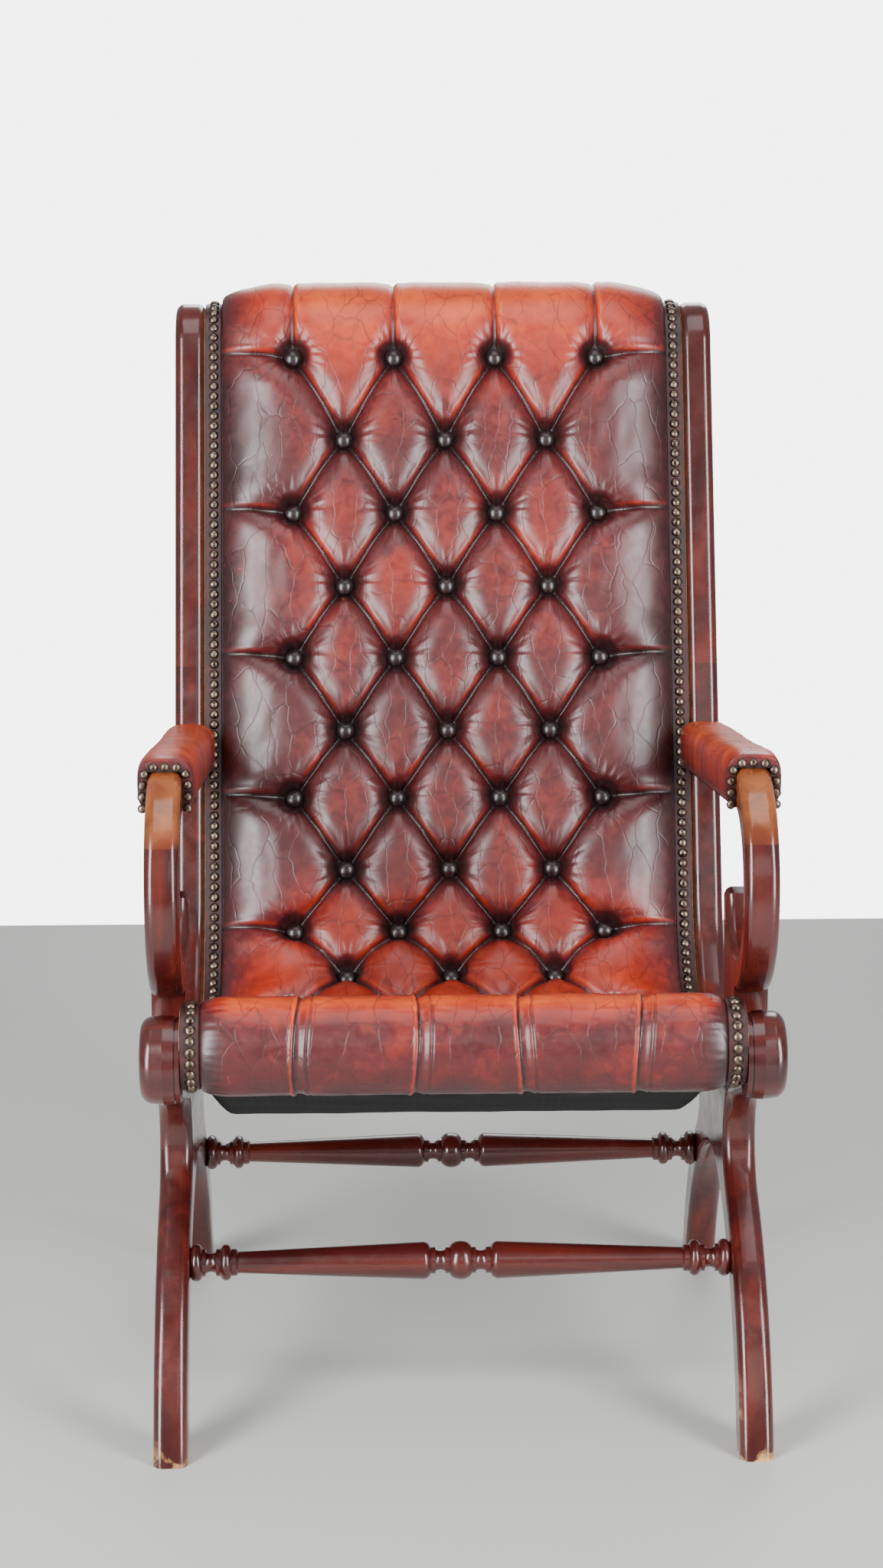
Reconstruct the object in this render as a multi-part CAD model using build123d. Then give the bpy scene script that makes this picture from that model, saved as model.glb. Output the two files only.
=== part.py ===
from build123d import *
import os
from math import acos, asin, atan2, cos, degrees, hypot, pi, radians, sin, sqrt, tan

os.makedirs("parts", exist_ok=True)

# Show-wood armchair with a buttoned leather back and seat in one sweep.
# X runs across the chair, Y from front to back, Z up, all in millimetres.
# While it is built, Y counts back from the front of the roundels; the finished
# chair is then centred over its own outline.

# Side frames
board_outer_x = 281.5          # outer face of a side frame from the middle plane
board_thick = 31.0
edge_round = 9.0               # rounding along every show edge of the side frames
board_inner_x = board_outer_x - board_thick
board_mid_x = board_outer_x - board_thick / 2

# Side profile: a falling seat line, a bend, a leaning back line and a crest
seat_fall = 20.0               # degrees
back_angle = 71.0              # degrees from the floor
bend_radius = 150.0
bend_y = 352.0                 # centre of the bend
bend_z = 455.0
back_length = 591.0            # straight part of the back
crest_radius = 48.0
rail_depth = 64.0
stile_depth = 50.0
neck_radius = 40.0

# Legs: two arched legs meet below the rail
leg_radius = 322.0             # outer curve of a leg
leg_depth = 44.0
leg_top = 250.0                # height of that curve's crown
leg_toe_y = 8.15               # front edge of the foot
leg_cross_share = 0.1211       # of its radius, from a leg's centre forward to where both legs meet
arch_radius = 154.0
crotch_radius = 50.0
leg_joint_z = 240.0            # glue line between legs and rail
splice_run = 243.0             # stile splice, from the end of the bend
leg_dowel_shares = (0.37, 0.78)         # of the glued joint's front half, out from its middle
splice_dowel_shares = (0.3, 0.7)

# Roundels at the front ends of the rails
roundel_radius = 40.0
roundel_proud = 4.5            # beyond the side frame's outer face
roundel_ring = 4.0
roundel_ring_radius = 38.0
roundel_groove = 1.2
roundel_round = 11.0
roundel_dome = 1.5

# Arms
arm_inner_radius = 66.0        # eye of the scroll
arm_band = 40.0                # mean thickness of the scroll round its eye
arm_shift_shares = (0.25, 0.075)        # of that, from the eye's centre to the outer curve's
arm_gap = 29.0                 # scroll to roundel
arm_bearing = 51.05            # degrees, from the roundel up to the outer curve's centre
arm_slope = 7.2                # degrees, rising to the front
arm_lift_angle = 255.0         # where the outer curve leaves the rail, in degrees
arm_thick = 31.0
arm_splice_rise = 52.0         # above the eye's centre
arm_tip_drop = 25.0            # below the eye's centre
arm_tip_thick = 26.0
arm_heel_lean = 24.0           # how far the scroll's back edge leans
arm_round_share = 0.2125       # of the scroll's thickness

# Arm pads
pad_width = 53.0
pad_rise = 8.0                 # leather crown above the wood
pad_edge_rise = 3.0
pad_skirt = 3.0                # how far the leather stops above the underside
pad_nose_reach = 16.0          # ahead of the scroll's outer centre
pad_nose_draw = 30.0
pad_nose_shares = ((0, 0.78, 0.97), (0.4, 0.92, 0.99), (1, 1, 1))  # place, height, width
pad_side_draw = 2.0
pad_back_gap = 4.5             # beside the nails of the back's edge

# Stretchers
stretcher_z = 153.0
tenon_radius = 8.0
tenon_length = 16.0
ball_radius = 17.75
# Place as a share of the half length, radius as a share of the ball's radius;
# a longer row also gives the middle of an arc that leads to it
stretcher_shares = (
    (0, 1), (0.0399, 0.7606, 0.0232, 0.9408), (0.0399, 0.6761), (0.0559, 0.6761),
    (0.0559, 0.5859), (0.0938, 0.5859, 0.0766, 0.4958), (0.0938, 0.6873), (0.1106, 0.6873),
    (0.1138, 0.7606), (0.1437, 0.9690, 0.1238, 0.9127), (0.8224, 0.5577), (0.8303, 0.6986),
    (0.8479, 0.6986), (0.8503, 0.7606), (0.8874, 0.7606, 0.8687, 0.9408), (0.8930, 0.7099),
    (0.9046, 0.7099), (0.9046, 0.5859), (0.9441, 0.5859, 0.9230, 0.4789), (0.9441, 0.7211),
    (0.9553, 0.7211), (0.9581, 0.7775), (1, 0.7324, 0.9772, 0.9803))

# Hidden beech frame that the upholstery is nailed to
liner_thick = 30.7
liner_depth = 40.0
liner_set_back = 2.0
core_radius = 36.0             # front roll's core
core_rise = 11.4               # its centre above the roundel's
core_set = -2.0
cross_rail_width = 50.0
cross_rail_thick = 22.0

# Upholstery
soft_clearance = 0.3
web_thick = 2.0
web_width = 50.0
web_pitch = 75.0
web_first = 70.0
gimp_width = 17.5
gimp_thick = 2.2
leather_thick = 2.0
cover_thick = 1.5
panel_margin = 11.0            # outside back and dust cover, from the end of the bend

# Buttoned panels: rows of four and of three buttons by turns
column_pitch = 105.5
four_column_shares = (-1.5, -0.5, 0.5, 1.5)
three_column_shares = (-1, 0, 1)
row_pitch = 75.0
row_gap_shares = (1.16, 1.04, 1.027, 1, 1.013, 0.933, 0.987, 0.88, 0.747, 0.927, 0.92, 0.92, 0.907)
first_row_below = 24.5         # first row below the crest's start
rows_on_back = 8
row_steps = 4                  # sections between two rows
crown = 32.0
pleat_rise = 17.0              # pleat between two buttons, above the webbing
pad_edge = 5.0
pad_start = 45.0
seat_nose_shares = ((0, 0.45), (0.12, 0.8), (0.3, 1))              # place, height
seat_front_swell = 11.0
button_radius = 7.0
button_height = 5.0
button_seat = 8.0
button_margin = 1.5
button_sag = 0.8
crest_crown = 21.0
crest_tail_crown = 7.0
crest_swell_share = 0.45
crest_tail_sweep = 264.0       # degrees round the crest
crest_steps = 12

# Front roll
roll_cover = 8.0
roll_back_angle = 15.0         # degrees about the core
roll_under_angle = 290.0
roll_pleat_pitch = 101.0
roll_pleat_half = 5.0
roll_pleat_share = 0.6
roll_end_draw = 6.0
roll_end_shares = ((0, 0.5), (0.5, 0.85), (2, 1))                  # place, height

# Nails
nail_radius = 4.8
nail_height = 3.2
nail_pitch = 10.45
nail_in = 9.5                  # nail line in from the side frame's inner face
arm_nail_pitch = 10.5
arm_nail_steps = 5             # nails on each side of the top one

# Dowels and screws
dowel_radius = 5.0
dowel_length = 44.0
small_dowel_radius = 4.0
small_dowel_length = 30.0
screw_radius = 2.5
screw_length = 46.0
screw_head_radius = 5.0
screw_head_height = 2.8
screw_pitch = 165.0
screw_first = 115.0
screw_count = 6
hole_clearance = 0.1

overrun = 20.0                 # one overrun for every cut
flat_tolerance = 0.01
half_turn = 180                # degrees
quarter_turn = 90              # degrees


# Side profile as a path: distance along it and offset to the front of it
fall = radians(seat_fall)
lean = radians(back_angle)
bend_in = (bend_y - bend_radius * sin(fall), bend_z - bend_radius * cos(fall))
bend_out = (bend_y + bend_radius * sin(lean), bend_z - bend_radius * cos(lean))
seat_front_y = roundel_radius + rail_depth / 2 * sin(fall)
seat_run = (bend_in[0] - seat_front_y) / cos(fall)
bend_end = seat_run + bend_radius * (fall + lean)
back_end = bend_end + back_length
crest_y = bend_out[0] + back_length * cos(lean) + crest_radius * sin(lean)
crest_z = bend_out[1] + back_length * sin(lean) - crest_radius * cos(lean)


def path(run, offset=0.0):
    # Point (y, z) and heading of the side profile at a distance along it
    if run < seat_run:
        heading = -fall
        y = seat_front_y + run * cos(fall)
        z = bend_in[1] + (seat_run - run) * sin(fall)
    elif run < bend_end:
        heading = -fall + (run - seat_run) / bend_radius
        y = bend_y + bend_radius * sin(heading)
        z = bend_z - bend_radius * cos(heading)
    elif run < back_end:
        heading = lean
        y = bend_out[0] + (run - bend_end) * cos(lean)
        z = bend_out[1] + (run - bend_end) * sin(lean)
    else:
        heading = lean - (run - back_end) / crest_radius
        y = crest_y - crest_radius * sin(heading)
        z = crest_z + crest_radius * cos(heading)
    return y - sin(heading) * offset, z + cos(heading) * offset, heading


def spot(run, offset=0.0):
    return path(run, offset)[:2]


def polar(centre, radius, angle):
    return centre[0] + radius * cos(radians(angle)), centre[1] + radius * sin(radians(angle))


def bearing(centre, point):
    return degrees(atan2(point[1] - centre[1], point[0] - centre[0]))


def arc(centre, radius, start, end):
    # Arc through its middle point, angles in degrees
    middle = (start + end) / 2
    return ThreePointArc(*[polar(centre, radius, a) for a in (start, middle, end)])


def path_edges(start, end, offset):
    # Edges along the side profile at one offset
    stops = [start] + [s for s in (seat_run, bend_end, back_end) if start < s < end] + [end]
    edges = []
    for low, high in zip(stops, stops[1:]):
        middle = (low + high) / 2
        straight = middle < seat_run or bend_end < middle < back_end
        if straight:
            edges.append(Line(spot(low, offset), spot(high, offset)))
        else:
            edges.append(ThreePointArc(spot(low, offset), spot(middle, offset), spot(high, offset)))
    return edges


def band(start, end, low, high):
    # Face between two offsets of the side profile
    edges = path_edges(start, end, low) + path_edges(start, end, high)
    edges.append(Line(spot(start, low), spot(start, high)))
    edges.append(Line(spot(end, low), spot(end, high)))
    return make_face(edges)


def prism(face, low_x, high_x):
    # Solid from a side-profile face, between two places across the chair
    return extrude(Pos(low_x, 0, 0) * (Plane.YZ * face), amount=high_x - low_x, dir=(1, 0, 0))


def across(radius, length, y, z, low_x):
    # Round bar across the chair
    return Pos(low_x + length / 2, y, z) * Rot(0, 90, 0) * Cylinder(radius, length)


def along_line(origin, heading, centre, distance, side):
    # Point on a line at a distance from a centre, on one side of its nearest point
    dy, dz = cos(heading), sin(heading)
    foot = (centre[0] - origin[0]) * dy + (centre[1] - origin[1]) * dz
    gap = abs((centre[0] - origin[0]) * dz - (centre[1] - origin[1]) * dy)
    step = foot + side * sqrt(distance ** 2 - gap ** 2)
    return origin[0] + step * dy, origin[1] + step * dz


def between(first, first_reach, second, second_reach, side):
    # Point at two given distances from two centres
    span = hypot(second[0] - first[0], second[1] - first[1])
    dy, dz = (second[0] - first[0]) / span, (second[1] - first[1]) / span
    step = (first_reach ** 2 - second_reach ** 2 + span ** 2) / (2 * span)
    rise = side * sqrt(first_reach ** 2 - step ** 2)
    return first[0] + step * dy - rise * dz, first[1] + step * dz + rise * dy

nodes = {}


def keep(name, shape):
    solids = shape.solids()
    nodes[name] = solids[0] if len(solids) == 1 else Compound(children=list(solids))


def keep_pair(name, shape):
    # The right-hand piece (+X) as built, and its mirror image on the left
    keep(name + "_right", shape)
    keep(name + "_left", mirror(shape, about=Plane.YZ))


def rounded(solid, radius, skip):
    # Round the long edges on both side faces, apart from those that skip names
    box = solid.bounding_box()
    chosen = []
    for edge in solid.edges():
        span = edge.bounding_box()
        flat = span.max.X - span.min.X < flat_tolerance
        on_face = min(abs(span.min.X - box.min.X), abs(span.max.X - box.max.X)) < flat_tolerance
        if flat and on_face and not skip(edge @ (1 / 2)):
            chosen.append(edge)
    return fillet(chosen, radius)


def turned(rows, unit_place=1, unit_radius=1):
    # Turned about X: rows of place and radius, or with an arc's middle added
    sized = [tuple(value * (unit_radius if place % 2 else unit_place) for place, value in enumerate(row))
             for row in rows]
    edges = [Line((sized[0][0], 0), sized[0][:2])]
    for start, end in zip(sized, sized[1:]):
        if len(end) > 2:
            edges.append(ThreePointArc(start[:2], end[2:], end[:2]))
        else:
            edges.append(Line(start[:2], end[:2]))
    if sized[-1][1] > 0:
        edges.append(Line(sized[-1][:2], (sized[-1][0], 0)))
    edges.append(Line((sized[-1][0], 0), (sized[0][0], 0)))
    return revolve(make_face(edges), axis=Axis.X)


def cap_middle(radius, height):
    # Middle point of the arc from a cap's rim to its top, the cap being part of a ball
    ball = (radius ** 2 + height ** 2) / (2 * height)
    half_turn = asin(radius / ball) / 2
    return ball * sin(half_turn), height - ball * (1 - cos(half_turn))


def pin(x, place, heading, radius, length):
    # Round pin centred on a place in the side plane, along a heading
    return Plane(origin=(x, *place), z_dir=(0, cos(heading), sin(heading))) * Cylinder(radius, length)


def halves(shape, origin, heading):
    # The two parts on either side of a plane across the chair
    plane = Plane(origin=(0, *origin), z_dir=(0, cos(heading), sin(heading)))
    return split(shape, bisect_by=plane, keep=Keep.TOP), split(shape, bisect_by=plane, keep=Keep.BOTTOM)


# Side frame outline
crest = (crest_y, crest_z)
bend = (bend_y, bend_z)
leg_centre_drop = leg_radius - leg_top
leg_centre_y = leg_toe_y + sqrt(leg_radius ** 2 - leg_centre_drop ** 2)
cross_y = leg_centre_y - leg_cross_share * leg_radius
front_leg_centre = (leg_centre_y, -leg_centre_drop)
rear_leg_centre = (2 * cross_y - leg_centre_y, -leg_centre_drop)
leg_inner_radius = leg_radius - leg_depth
bend_outer_radius = bend_radius + stile_depth
roundel = spot(0, -rail_depth / 2)
front_line = spot(0, -rail_depth - crotch_radius)
front = along_line(front_line, -fall, front_leg_centre, leg_radius + crotch_radius, -1)
joint_half = cross_y - front[0] - sqrt(crotch_radius ** 2 - (leg_joint_z - front[1]) ** 2)


def side_outline():
    neck_start = spot(bend_end, -stile_depth - neck_radius)
    neck = along_line(neck_start, lean, crest, crest_radius + neck_radius, -1)
    neck_foot = polar(neck, neck_radius, back_angle + quarter_turn)
    crest_start = degrees(lean) + quarter_turn
    crest_stop = bearing(crest, neck)
    neck_top = bearing(neck, crest)
    neck_low = bearing(neck, neck_foot)
    rear = between(bend, bend_outer_radius + crotch_radius,
                   rear_leg_centre, leg_radius + crotch_radius, 1)
    under = polar(front, crotch_radius, quarter_turn - seat_fall)
    arch_z = sqrt((leg_inner_radius - arch_radius) ** 2 - (leg_centre_y - cross_y) ** 2) - leg_centre_drop
    arch = (cross_y, arch_z)
    foot_out = degrees(asin(leg_centre_drop / leg_radius))
    foot_in = degrees(asin(leg_centre_drop / leg_inner_radius))
    arch_turn = bearing(front_leg_centre, arch)
    heel_out = polar(front_leg_centre, leg_radius, half_turn - foot_out)
    heel_in = polar(front_leg_centre, leg_inner_radius, half_turn - foot_in)
    rear_out = polar(rear_leg_centre, leg_radius, foot_out)
    rear_in = polar(rear_leg_centre, leg_inner_radius, foot_in)
    edges = path_edges(0, back_end, 0)
    edges += [arc(crest, crest_radius, crest_start, crest_stop),
              arc(neck, neck_radius, neck_top, neck_low),
              Line(neck_foot, spot(bend_end, -stile_depth)),
              arc(bend, bend_outer_radius, back_angle - quarter_turn, bearing(bend, rear)),
              arc(rear, crotch_radius, bearing(rear, bend), bearing(rear, rear_leg_centre) + 2 * half_turn),
              arc(rear_leg_centre, leg_radius, bearing(rear_leg_centre, rear), foot_out),
              Line(rear_out, rear_in),
              arc(rear_leg_centre, leg_inner_radius, foot_in, half_turn - arch_turn),
              arc(arch, arch_radius, half_turn - arch_turn, arch_turn),
              arc(front_leg_centre, leg_inner_radius, arch_turn, half_turn - foot_in),
              Line(heel_in, heel_out),
              arc(front_leg_centre, leg_radius, half_turn - foot_out, bearing(front_leg_centre, front)),
              arc(front, crotch_radius, bearing(front, front_leg_centre), quarter_turn - seat_fall),
              Line(under, spot(0, -rail_depth)),
              Line(spot(0, -rail_depth), spot(0, 0))]
    return make_face(edges)


# Side frames
board = prism(side_outline(), board_inner_x, board_outer_x)
board = rounded(board, edge_round, lambda point: point.Z < flat_tolerance
                or hypot(point.Y - roundel[0], point.Z - roundel[1]) < edge_round)
board -= across(roundel_radius, board_thick + 2 * overrun, *roundel, board_inner_x - overrun)

# Arm: a sloped bearer that turns over into an open scroll standing on the rail
arm_outer_radius = arm_inner_radius + arm_band
arm_round = arm_round_share * arm_band
swell = polar(roundel, roundel_radius + arm_gap + arm_outer_radius, arm_bearing)
eye = (swell[0] - arm_shift_shares[0] * arm_band, swell[1] - arm_shift_shares[1] * arm_band)
arm_splice_z = eye[1] + arm_splice_rise
arm_tip_z = eye[1] - arm_tip_drop
arm_heading = -radians(arm_slope)
arm_top = polar(swell, arm_outer_radius, quarter_turn - arm_slope)
arm_under = polar(eye, arm_inner_radius, quarter_turn - arm_slope)
arm_lift = polar(swell, arm_outer_radius, arm_lift_angle)
stile_y = bend_out[0] + (arm_under[1] - bend_out[1]) / tan(lean)
arm_back_y = stile_y + stile_depth / 2


def on_arm(start, y):
    # Point of one of the bearer's sloped lines
    return y, start[1] + (y - start[0]) * tan(arm_heading)


def arm_outline():
    tip_angle = degrees(asin((arm_tip_z - eye[1]) / arm_inner_radius))
    tip_in = polar(eye, arm_inner_radius, tip_angle)
    tip_out = (tip_in[0] + arm_tip_thick, arm_tip_z)
    base_front = (arm_lift[0], arm_lift[1] - rail_depth)
    base_back = (tip_out[0] - arm_heel_lean, base_front[1])
    return make_face([arc(eye, arm_inner_radius, tip_angle, -quarter_turn),
                      arc(eye, arm_inner_radius, -quarter_turn, -half_turn - quarter_turn - arm_slope),
                      Line(arm_under, on_arm(arm_under, arm_back_y)),
                      Line(on_arm(arm_under, arm_back_y), on_arm(arm_top, arm_back_y)),
                      Line(on_arm(arm_top, arm_back_y), arm_top),
                      arc(swell, arm_outer_radius, quarter_turn - arm_slope, arm_lift_angle),
                      Line(arm_lift, base_front),
                      Line(base_front, base_back),
                      Line(base_back, tip_out),
                      Line(tip_out, tip_in)])


arm = prism(arm_outline(), board_inner_x, board_inner_x + arm_thick)
arm = rounded(arm, arm_round, lambda point: point.Z < arm_lift[1] - flat_tolerance
              or point.Y > arm_back_y - flat_tolerance)
arm = (arm - board).solids().sort_by(SortBy.VOLUME)[-1]

# Dowels in the side frames' joints, and mortises for the stretchers
splice = spot(bend_end + splice_run, -stile_depth / 2)
stretcher_reach = leg_radius - leg_depth / 2
stretcher_y = leg_centre_y - sqrt(stretcher_reach ** 2 - (stretcher_z + leg_centre_drop) ** 2)
stretcher_places = {"front_stretcher": stretcher_y, "rear_stretcher": 2 * cross_y - stretcher_y}
arm_front_y = (eye[0] - sqrt(arm_inner_radius ** 2 - (arm_splice_z - eye[1]) ** 2)
               + swell[0] - sqrt(arm_outer_radius ** 2 - (arm_splice_z - swell[1]) ** 2)) / 2
arm_front_heading = atan2((eye[0] + swell[0]) / 2 - arm_front_y,
                          arm_splice_z - (eye[1] + swell[1]) / 2)
arm_mid_x = board_inner_x + arm_thick / 2
bearer_depth = (on_arm(arm_top, 0)[1] - on_arm(arm_under, 0)[1]) * cos(arm_heading)
bearer_end = on_arm(arm_under, stile_y)
foot_run = (swell[0] - seat_front_y) / cos(fall)
frame_pins = [pin(board_mid_x, (cross_y + side * share * joint_half, leg_joint_z), pi / 2, dowel_radius,
                  dowel_length) for side in (-1, 1) for share in leg_dowel_shares]
frame_pins += [pin(board_mid_x, spot(bend_end + splice_run, -share * stile_depth), lean, dowel_radius,
                   dowel_length) for share in splice_dowel_shares]
arm_pins = [pin(arm_mid_x, (arm_front_y, arm_splice_z), arm_front_heading,
                small_dowel_radius, small_dowel_length),
            pin(arm_mid_x, (bearer_end[0], bearer_end[1] + bearer_depth / 2), arm_heading,
                small_dowel_radius, small_dowel_length),
            pin(arm_mid_x, spot(foot_run), pi / 2 - fall, small_dowel_radius, small_dowel_length)]
for dowel in frame_pins + arm_pins:
    board -= dowel
for dowel in arm_pins:
    arm -= dowel
for y in stretcher_places.values():
    board -= across(tenon_radius + hole_clearance, tenon_length + hole_clearance + overrun,
                    y, stretcher_z, board_inner_x - overrun)

# Hidden liners inside the side frames, which carry all the upholstery
liner_inner_x = board_inner_x - liner_thick
liner_back = -liner_set_back - liner_depth
core = spot(core_set, core_rise - rail_depth / 2)
crest_core_radius = crest_radius - liner_set_back
crest_gap = crest_radius + liner_back
crest_drop = sqrt(crest_core_radius ** 2 - crest_gap ** 2)
crest_turn = 2 * pi - acos(crest_gap / crest_core_radius)
liner_edges = path_edges(0, back_end + crest_turn * crest_radius, -liner_set_back)
liner_edges += path_edges(0, back_end - crest_drop, liner_back)
liner_edges.append(Line(spot(0, -liner_set_back), spot(0, liner_back)))
liner = prism(make_face(liner_edges), liner_inner_x, board_inner_x)
liner += across(core_radius, liner_thick, *core, liner_inner_x)

# Cross rails between the liners, each on dowels
cross_rail_high = liner_back + cross_rail_thick
cross_rail_middle = liner_back + cross_rail_thick / 2
cross_rail_band = band(bend_end - cross_rail_width / 2, bend_end + cross_rail_width / 2,
                       liner_back, cross_rail_high)
cross_rails = {"front_roll_core": across(core_radius, 2 * liner_inner_x, *core, -liner_inner_x),
               "crest_rail": across(crest_core_radius, 2 * liner_inner_x, *crest, -liner_inner_x),
               "lower_back_rail": prism(cross_rail_band, -liner_inner_x, liner_inner_x)}
dowel_spots = {"front_roll_core": [(core[0], core[1] + side * core_radius / 2) for side in (-1, 1)],
               "crest_rail": [(crest[0], crest[1] + side * core_radius / 2) for side in (-1, 1)],
               "lower_back_rail": [spot(bend_end + side * cross_rail_width / 4, cross_rail_middle)
                                   for side in (-1, 1)]}
rail_pins = []
for name, spots in dowel_spots.items():
    for side in (-1, 1):
        for y, z in spots:
            dowel = across(small_dowel_radius, small_dowel_length, y, z,
                           side * liner_inner_x - small_dowel_length / 2)
            rail_pins.append(dowel)
            cross_rails[name] -= dowel
            if side > 0:
                liner -= dowel

# Screws that hold each liner to its side frame
screw_rows = ((0, screw_head_radius), (screw_head_height, screw_head_radius),
              (screw_head_height, screw_radius), (screw_length, screw_radius))
screws = [Pos(liner_inner_x, *spot(screw_first + step * screw_pitch, liner_back / 2)) * turned(screw_rows)
          for step in range(screw_count)]
for screw in screws:
    liner -= screw
    board -= screw

stile, lower_board = halves(board, splice, lean)
rail, legs = halves(lower_board, (0, leg_joint_z), pi / 2)
rear_leg, front_leg = halves(legs, (cross_y, 0), 0)
bearer, scroll = halves(arm, (arm_front_y, arm_splice_z), arm_heading + pi / 2)
keep_pair("upper_stile", stile)
keep_pair("seat_rail", rail)
keep_pair("front_leg", front_leg)
keep_pair("rear_leg", rear_leg)
keep_pair("arm_bearer", bearer)
keep_pair("arm_scroll", scroll)
keep_pair("frame_dowels", Compound(children=frame_pins + arm_pins))
keep_pair("liner", liner)
keep_pair("liner_screws", Compound(children=screws))
for name, shape in cross_rails.items():
    keep(name, shape)
keep("cross_rail_dowels", Compound(children=rail_pins))

# Roundels: turned barrels with a thin ring on the inner side
ring_x = board_inner_x + roundel_ring
barrel_x = ring_x + roundel_groove
face_x = board_outer_x + roundel_proud
rim_x = face_x - roundel_round
slant = sin(pi / 4)
barrel_end = roundel_radius - roundel_groove
dome_out, dome_up = cap_middle(roundel_radius - roundel_round, roundel_dome)
roundel_rows = ((board_inner_x, roundel_ring_radius), (ring_x, roundel_ring_radius),
                (ring_x, roundel_ring_radius - roundel_groove),
                (barrel_x, roundel_ring_radius - roundel_groove),
                (barrel_x, barrel_end),
                ((barrel_x + rim_x) / 2, roundel_radius - hole_clearance),
                (rim_x, barrel_end),
                (face_x, roundel_radius - roundel_round, rim_x + roundel_round * slant,
                 barrel_end - roundel_round * (1 - slant)),
                (face_x + roundel_dome, 0, face_x + dome_up, dome_out))
keep_pair("roundel", Pos(0, *roundel) * turned(roundel_rows))

# Stretchers: beads, coves and long tapers about a centre ball
half_stretcher = turned(stretcher_shares, board_inner_x, ball_radius)
half_stretcher += across(tenon_radius, tenon_length, 0, 0, board_inner_x)
whole_stretcher = half_stretcher + mirror(half_stretcher, about=Plane.YZ)
for name, y in stretcher_places.items():
    keep(name, Pos(0, y, stretcher_z) * whole_stretcher)

# Rows of buttons, from the crest down the back and along the seat
row_runs = [back_end - first_row_below]
for share in row_gap_shares:
    row_runs.append(row_runs[-1] - share * row_pitch)
columns_by_row = [four_column_shares if place % 2 == 0 else three_column_shares
                  for place in range(len(row_runs))]
rows = [(run, [share * column_pitch for share in shares]) for run, shares in zip(row_runs, columns_by_row)]

# Webbing from liner to liner, under the seat panel and up the back
pad_half_width = board_inner_x - gimp_width - 2 * soft_clearance
web_half = pad_half_width - liner_set_back
web_count = int((row_runs[0] - web_first - web_width) / web_pitch) + 1
web_runs = [web_first + step * web_pitch for step in range(web_count)]
webs = {"seat_webbing": [run for run in web_runs if run + web_width / 2 < bend_end],
        "back_webbing": [run for run in web_runs if run + web_width / 2 >= bend_end]}
for name, runs in webs.items():
    strips = [prism(band(run, run + web_width, -liner_set_back, web_thick - liner_set_back),
                    -web_half, web_half) for run in runs]
    keep(name, Compound(children=strips))

# Buttoned panels: sections across the chair with a pleat either side of every
# button, lofted along the side profile
button_tuck = button_radius + button_margin
button_pit = button_seat - soft_clearance
crown_swell = crown - button_pit
pad_floor = web_thick - liner_set_back + soft_clearance
crest_tail_turn = radians(crest_tail_sweep)


def tracks(columns):
    # Places of the six pleats where they cross a row
    left = columns[0] - button_tuck
    inner = columns[0] + button_tuck
    outer = columns[1] - button_tuck
    if len(columns) == len(four_column_shares):
        left = inner
        inner = outer
        outer = columns[1] + button_tuck
    return [left, inner, outer, -outer, -inner, -left]


def swells(columns):
    # Swell of each of the seven strips between pleats, where they cross a row
    wide_first = len(columns) == len(three_column_shares)
    return [crown_swell if (place % 2 == 0) == wide_first else -button_sag for place in range(7)]


def blend(first, second, share):
    return [a + (b - a) * share for a, b in zip(first, second)]


def section(run, places, pleat, swell_list, floor=pad_floor):
    # Closed outline across the chair, in the plane square to the side profile
    y, z, heading = path(run)
    plane = Plane(origin=(0, y, z), x_dir=(1, 0, 0), z_dir=(0, -cos(heading), -sin(heading)))
    corners = [(-pad_half_width, pad_edge)] + [(x, pleat) for x in places] + [(pad_half_width, pad_edge)]
    edges = [Line((pad_half_width, floor), (-pad_half_width, floor)),
             Line((-pad_half_width, floor), corners[0]),
             Line(corners[-1], (pad_half_width, floor))]
    for start, end, swell_height in zip(corners, corners[1:], swell_list):
        middle = ((start[0] + end[0]) / 2, (start[1] + end[1]) / 2 + swell_height)
        edges.append(ThreePointArc(start, middle, end))
    return plane * make_face(edges)


def panel_sections():
    # Sections by distance, from the front of the seat to the tail behind the crest
    sections = {}
    ordered = rows[::-1]
    first_run, first_columns = ordered[0]
    for place, height in seat_nose_shares:
        run = pad_start + place * (first_run - pad_start)
        places = blend(tracks(rows[0][1]), tracks(first_columns), place)
        sections[run] = (places, pleat_rise * height, [seat_front_swell * height] * 7)
    for place, (run, columns) in enumerate(ordered):
        flat = (tracks(columns), button_pit, swells(columns))
        sections[run - button_tuck] = flat
        sections[run + button_tuck] = flat
        if place + 1 == len(ordered):
            continue
        next_run, next_columns = ordered[place + 1]
        gap = next_run - run - 2 * button_tuck
        for step in range(1, row_steps):
            share = step / row_steps
            sections[run + button_tuck + gap * share] = (
                blend(tracks(columns), tracks(next_columns), share),
                button_pit + (pleat_rise - button_pit) * sin(pi * share),
                blend(swells(columns), swells(next_columns), sin(pi * share / 2) ** 2))
    step_turn = crest_tail_turn / crest_steps
    crest_floor = (crest_core_radius + soft_clearance) / cos(step_turn / 2) - crest_radius
    for step in range(crest_steps + 1):
        height = crest_crown + (crest_tail_crown - crest_crown) * step / crest_steps
        swell_height = height * crest_swell_share
        edge_swell = swell_height / 2
        sections[back_end + step * step_turn * crest_radius] = (
            tracks(rows[0][1]), height - swell_height,
            [edge_swell] + [swell_height, -button_sag] * 2 + [swell_height, edge_swell], crest_floor)
    return sections


def panel(sections, start, end):
    # One panel between two places, meeting its neighbour with a small gap
    runs = [run for run in sorted(sections) if start < run < end]
    return loft([section(run, *sections[run]) for run in runs], ruled=True)


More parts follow.
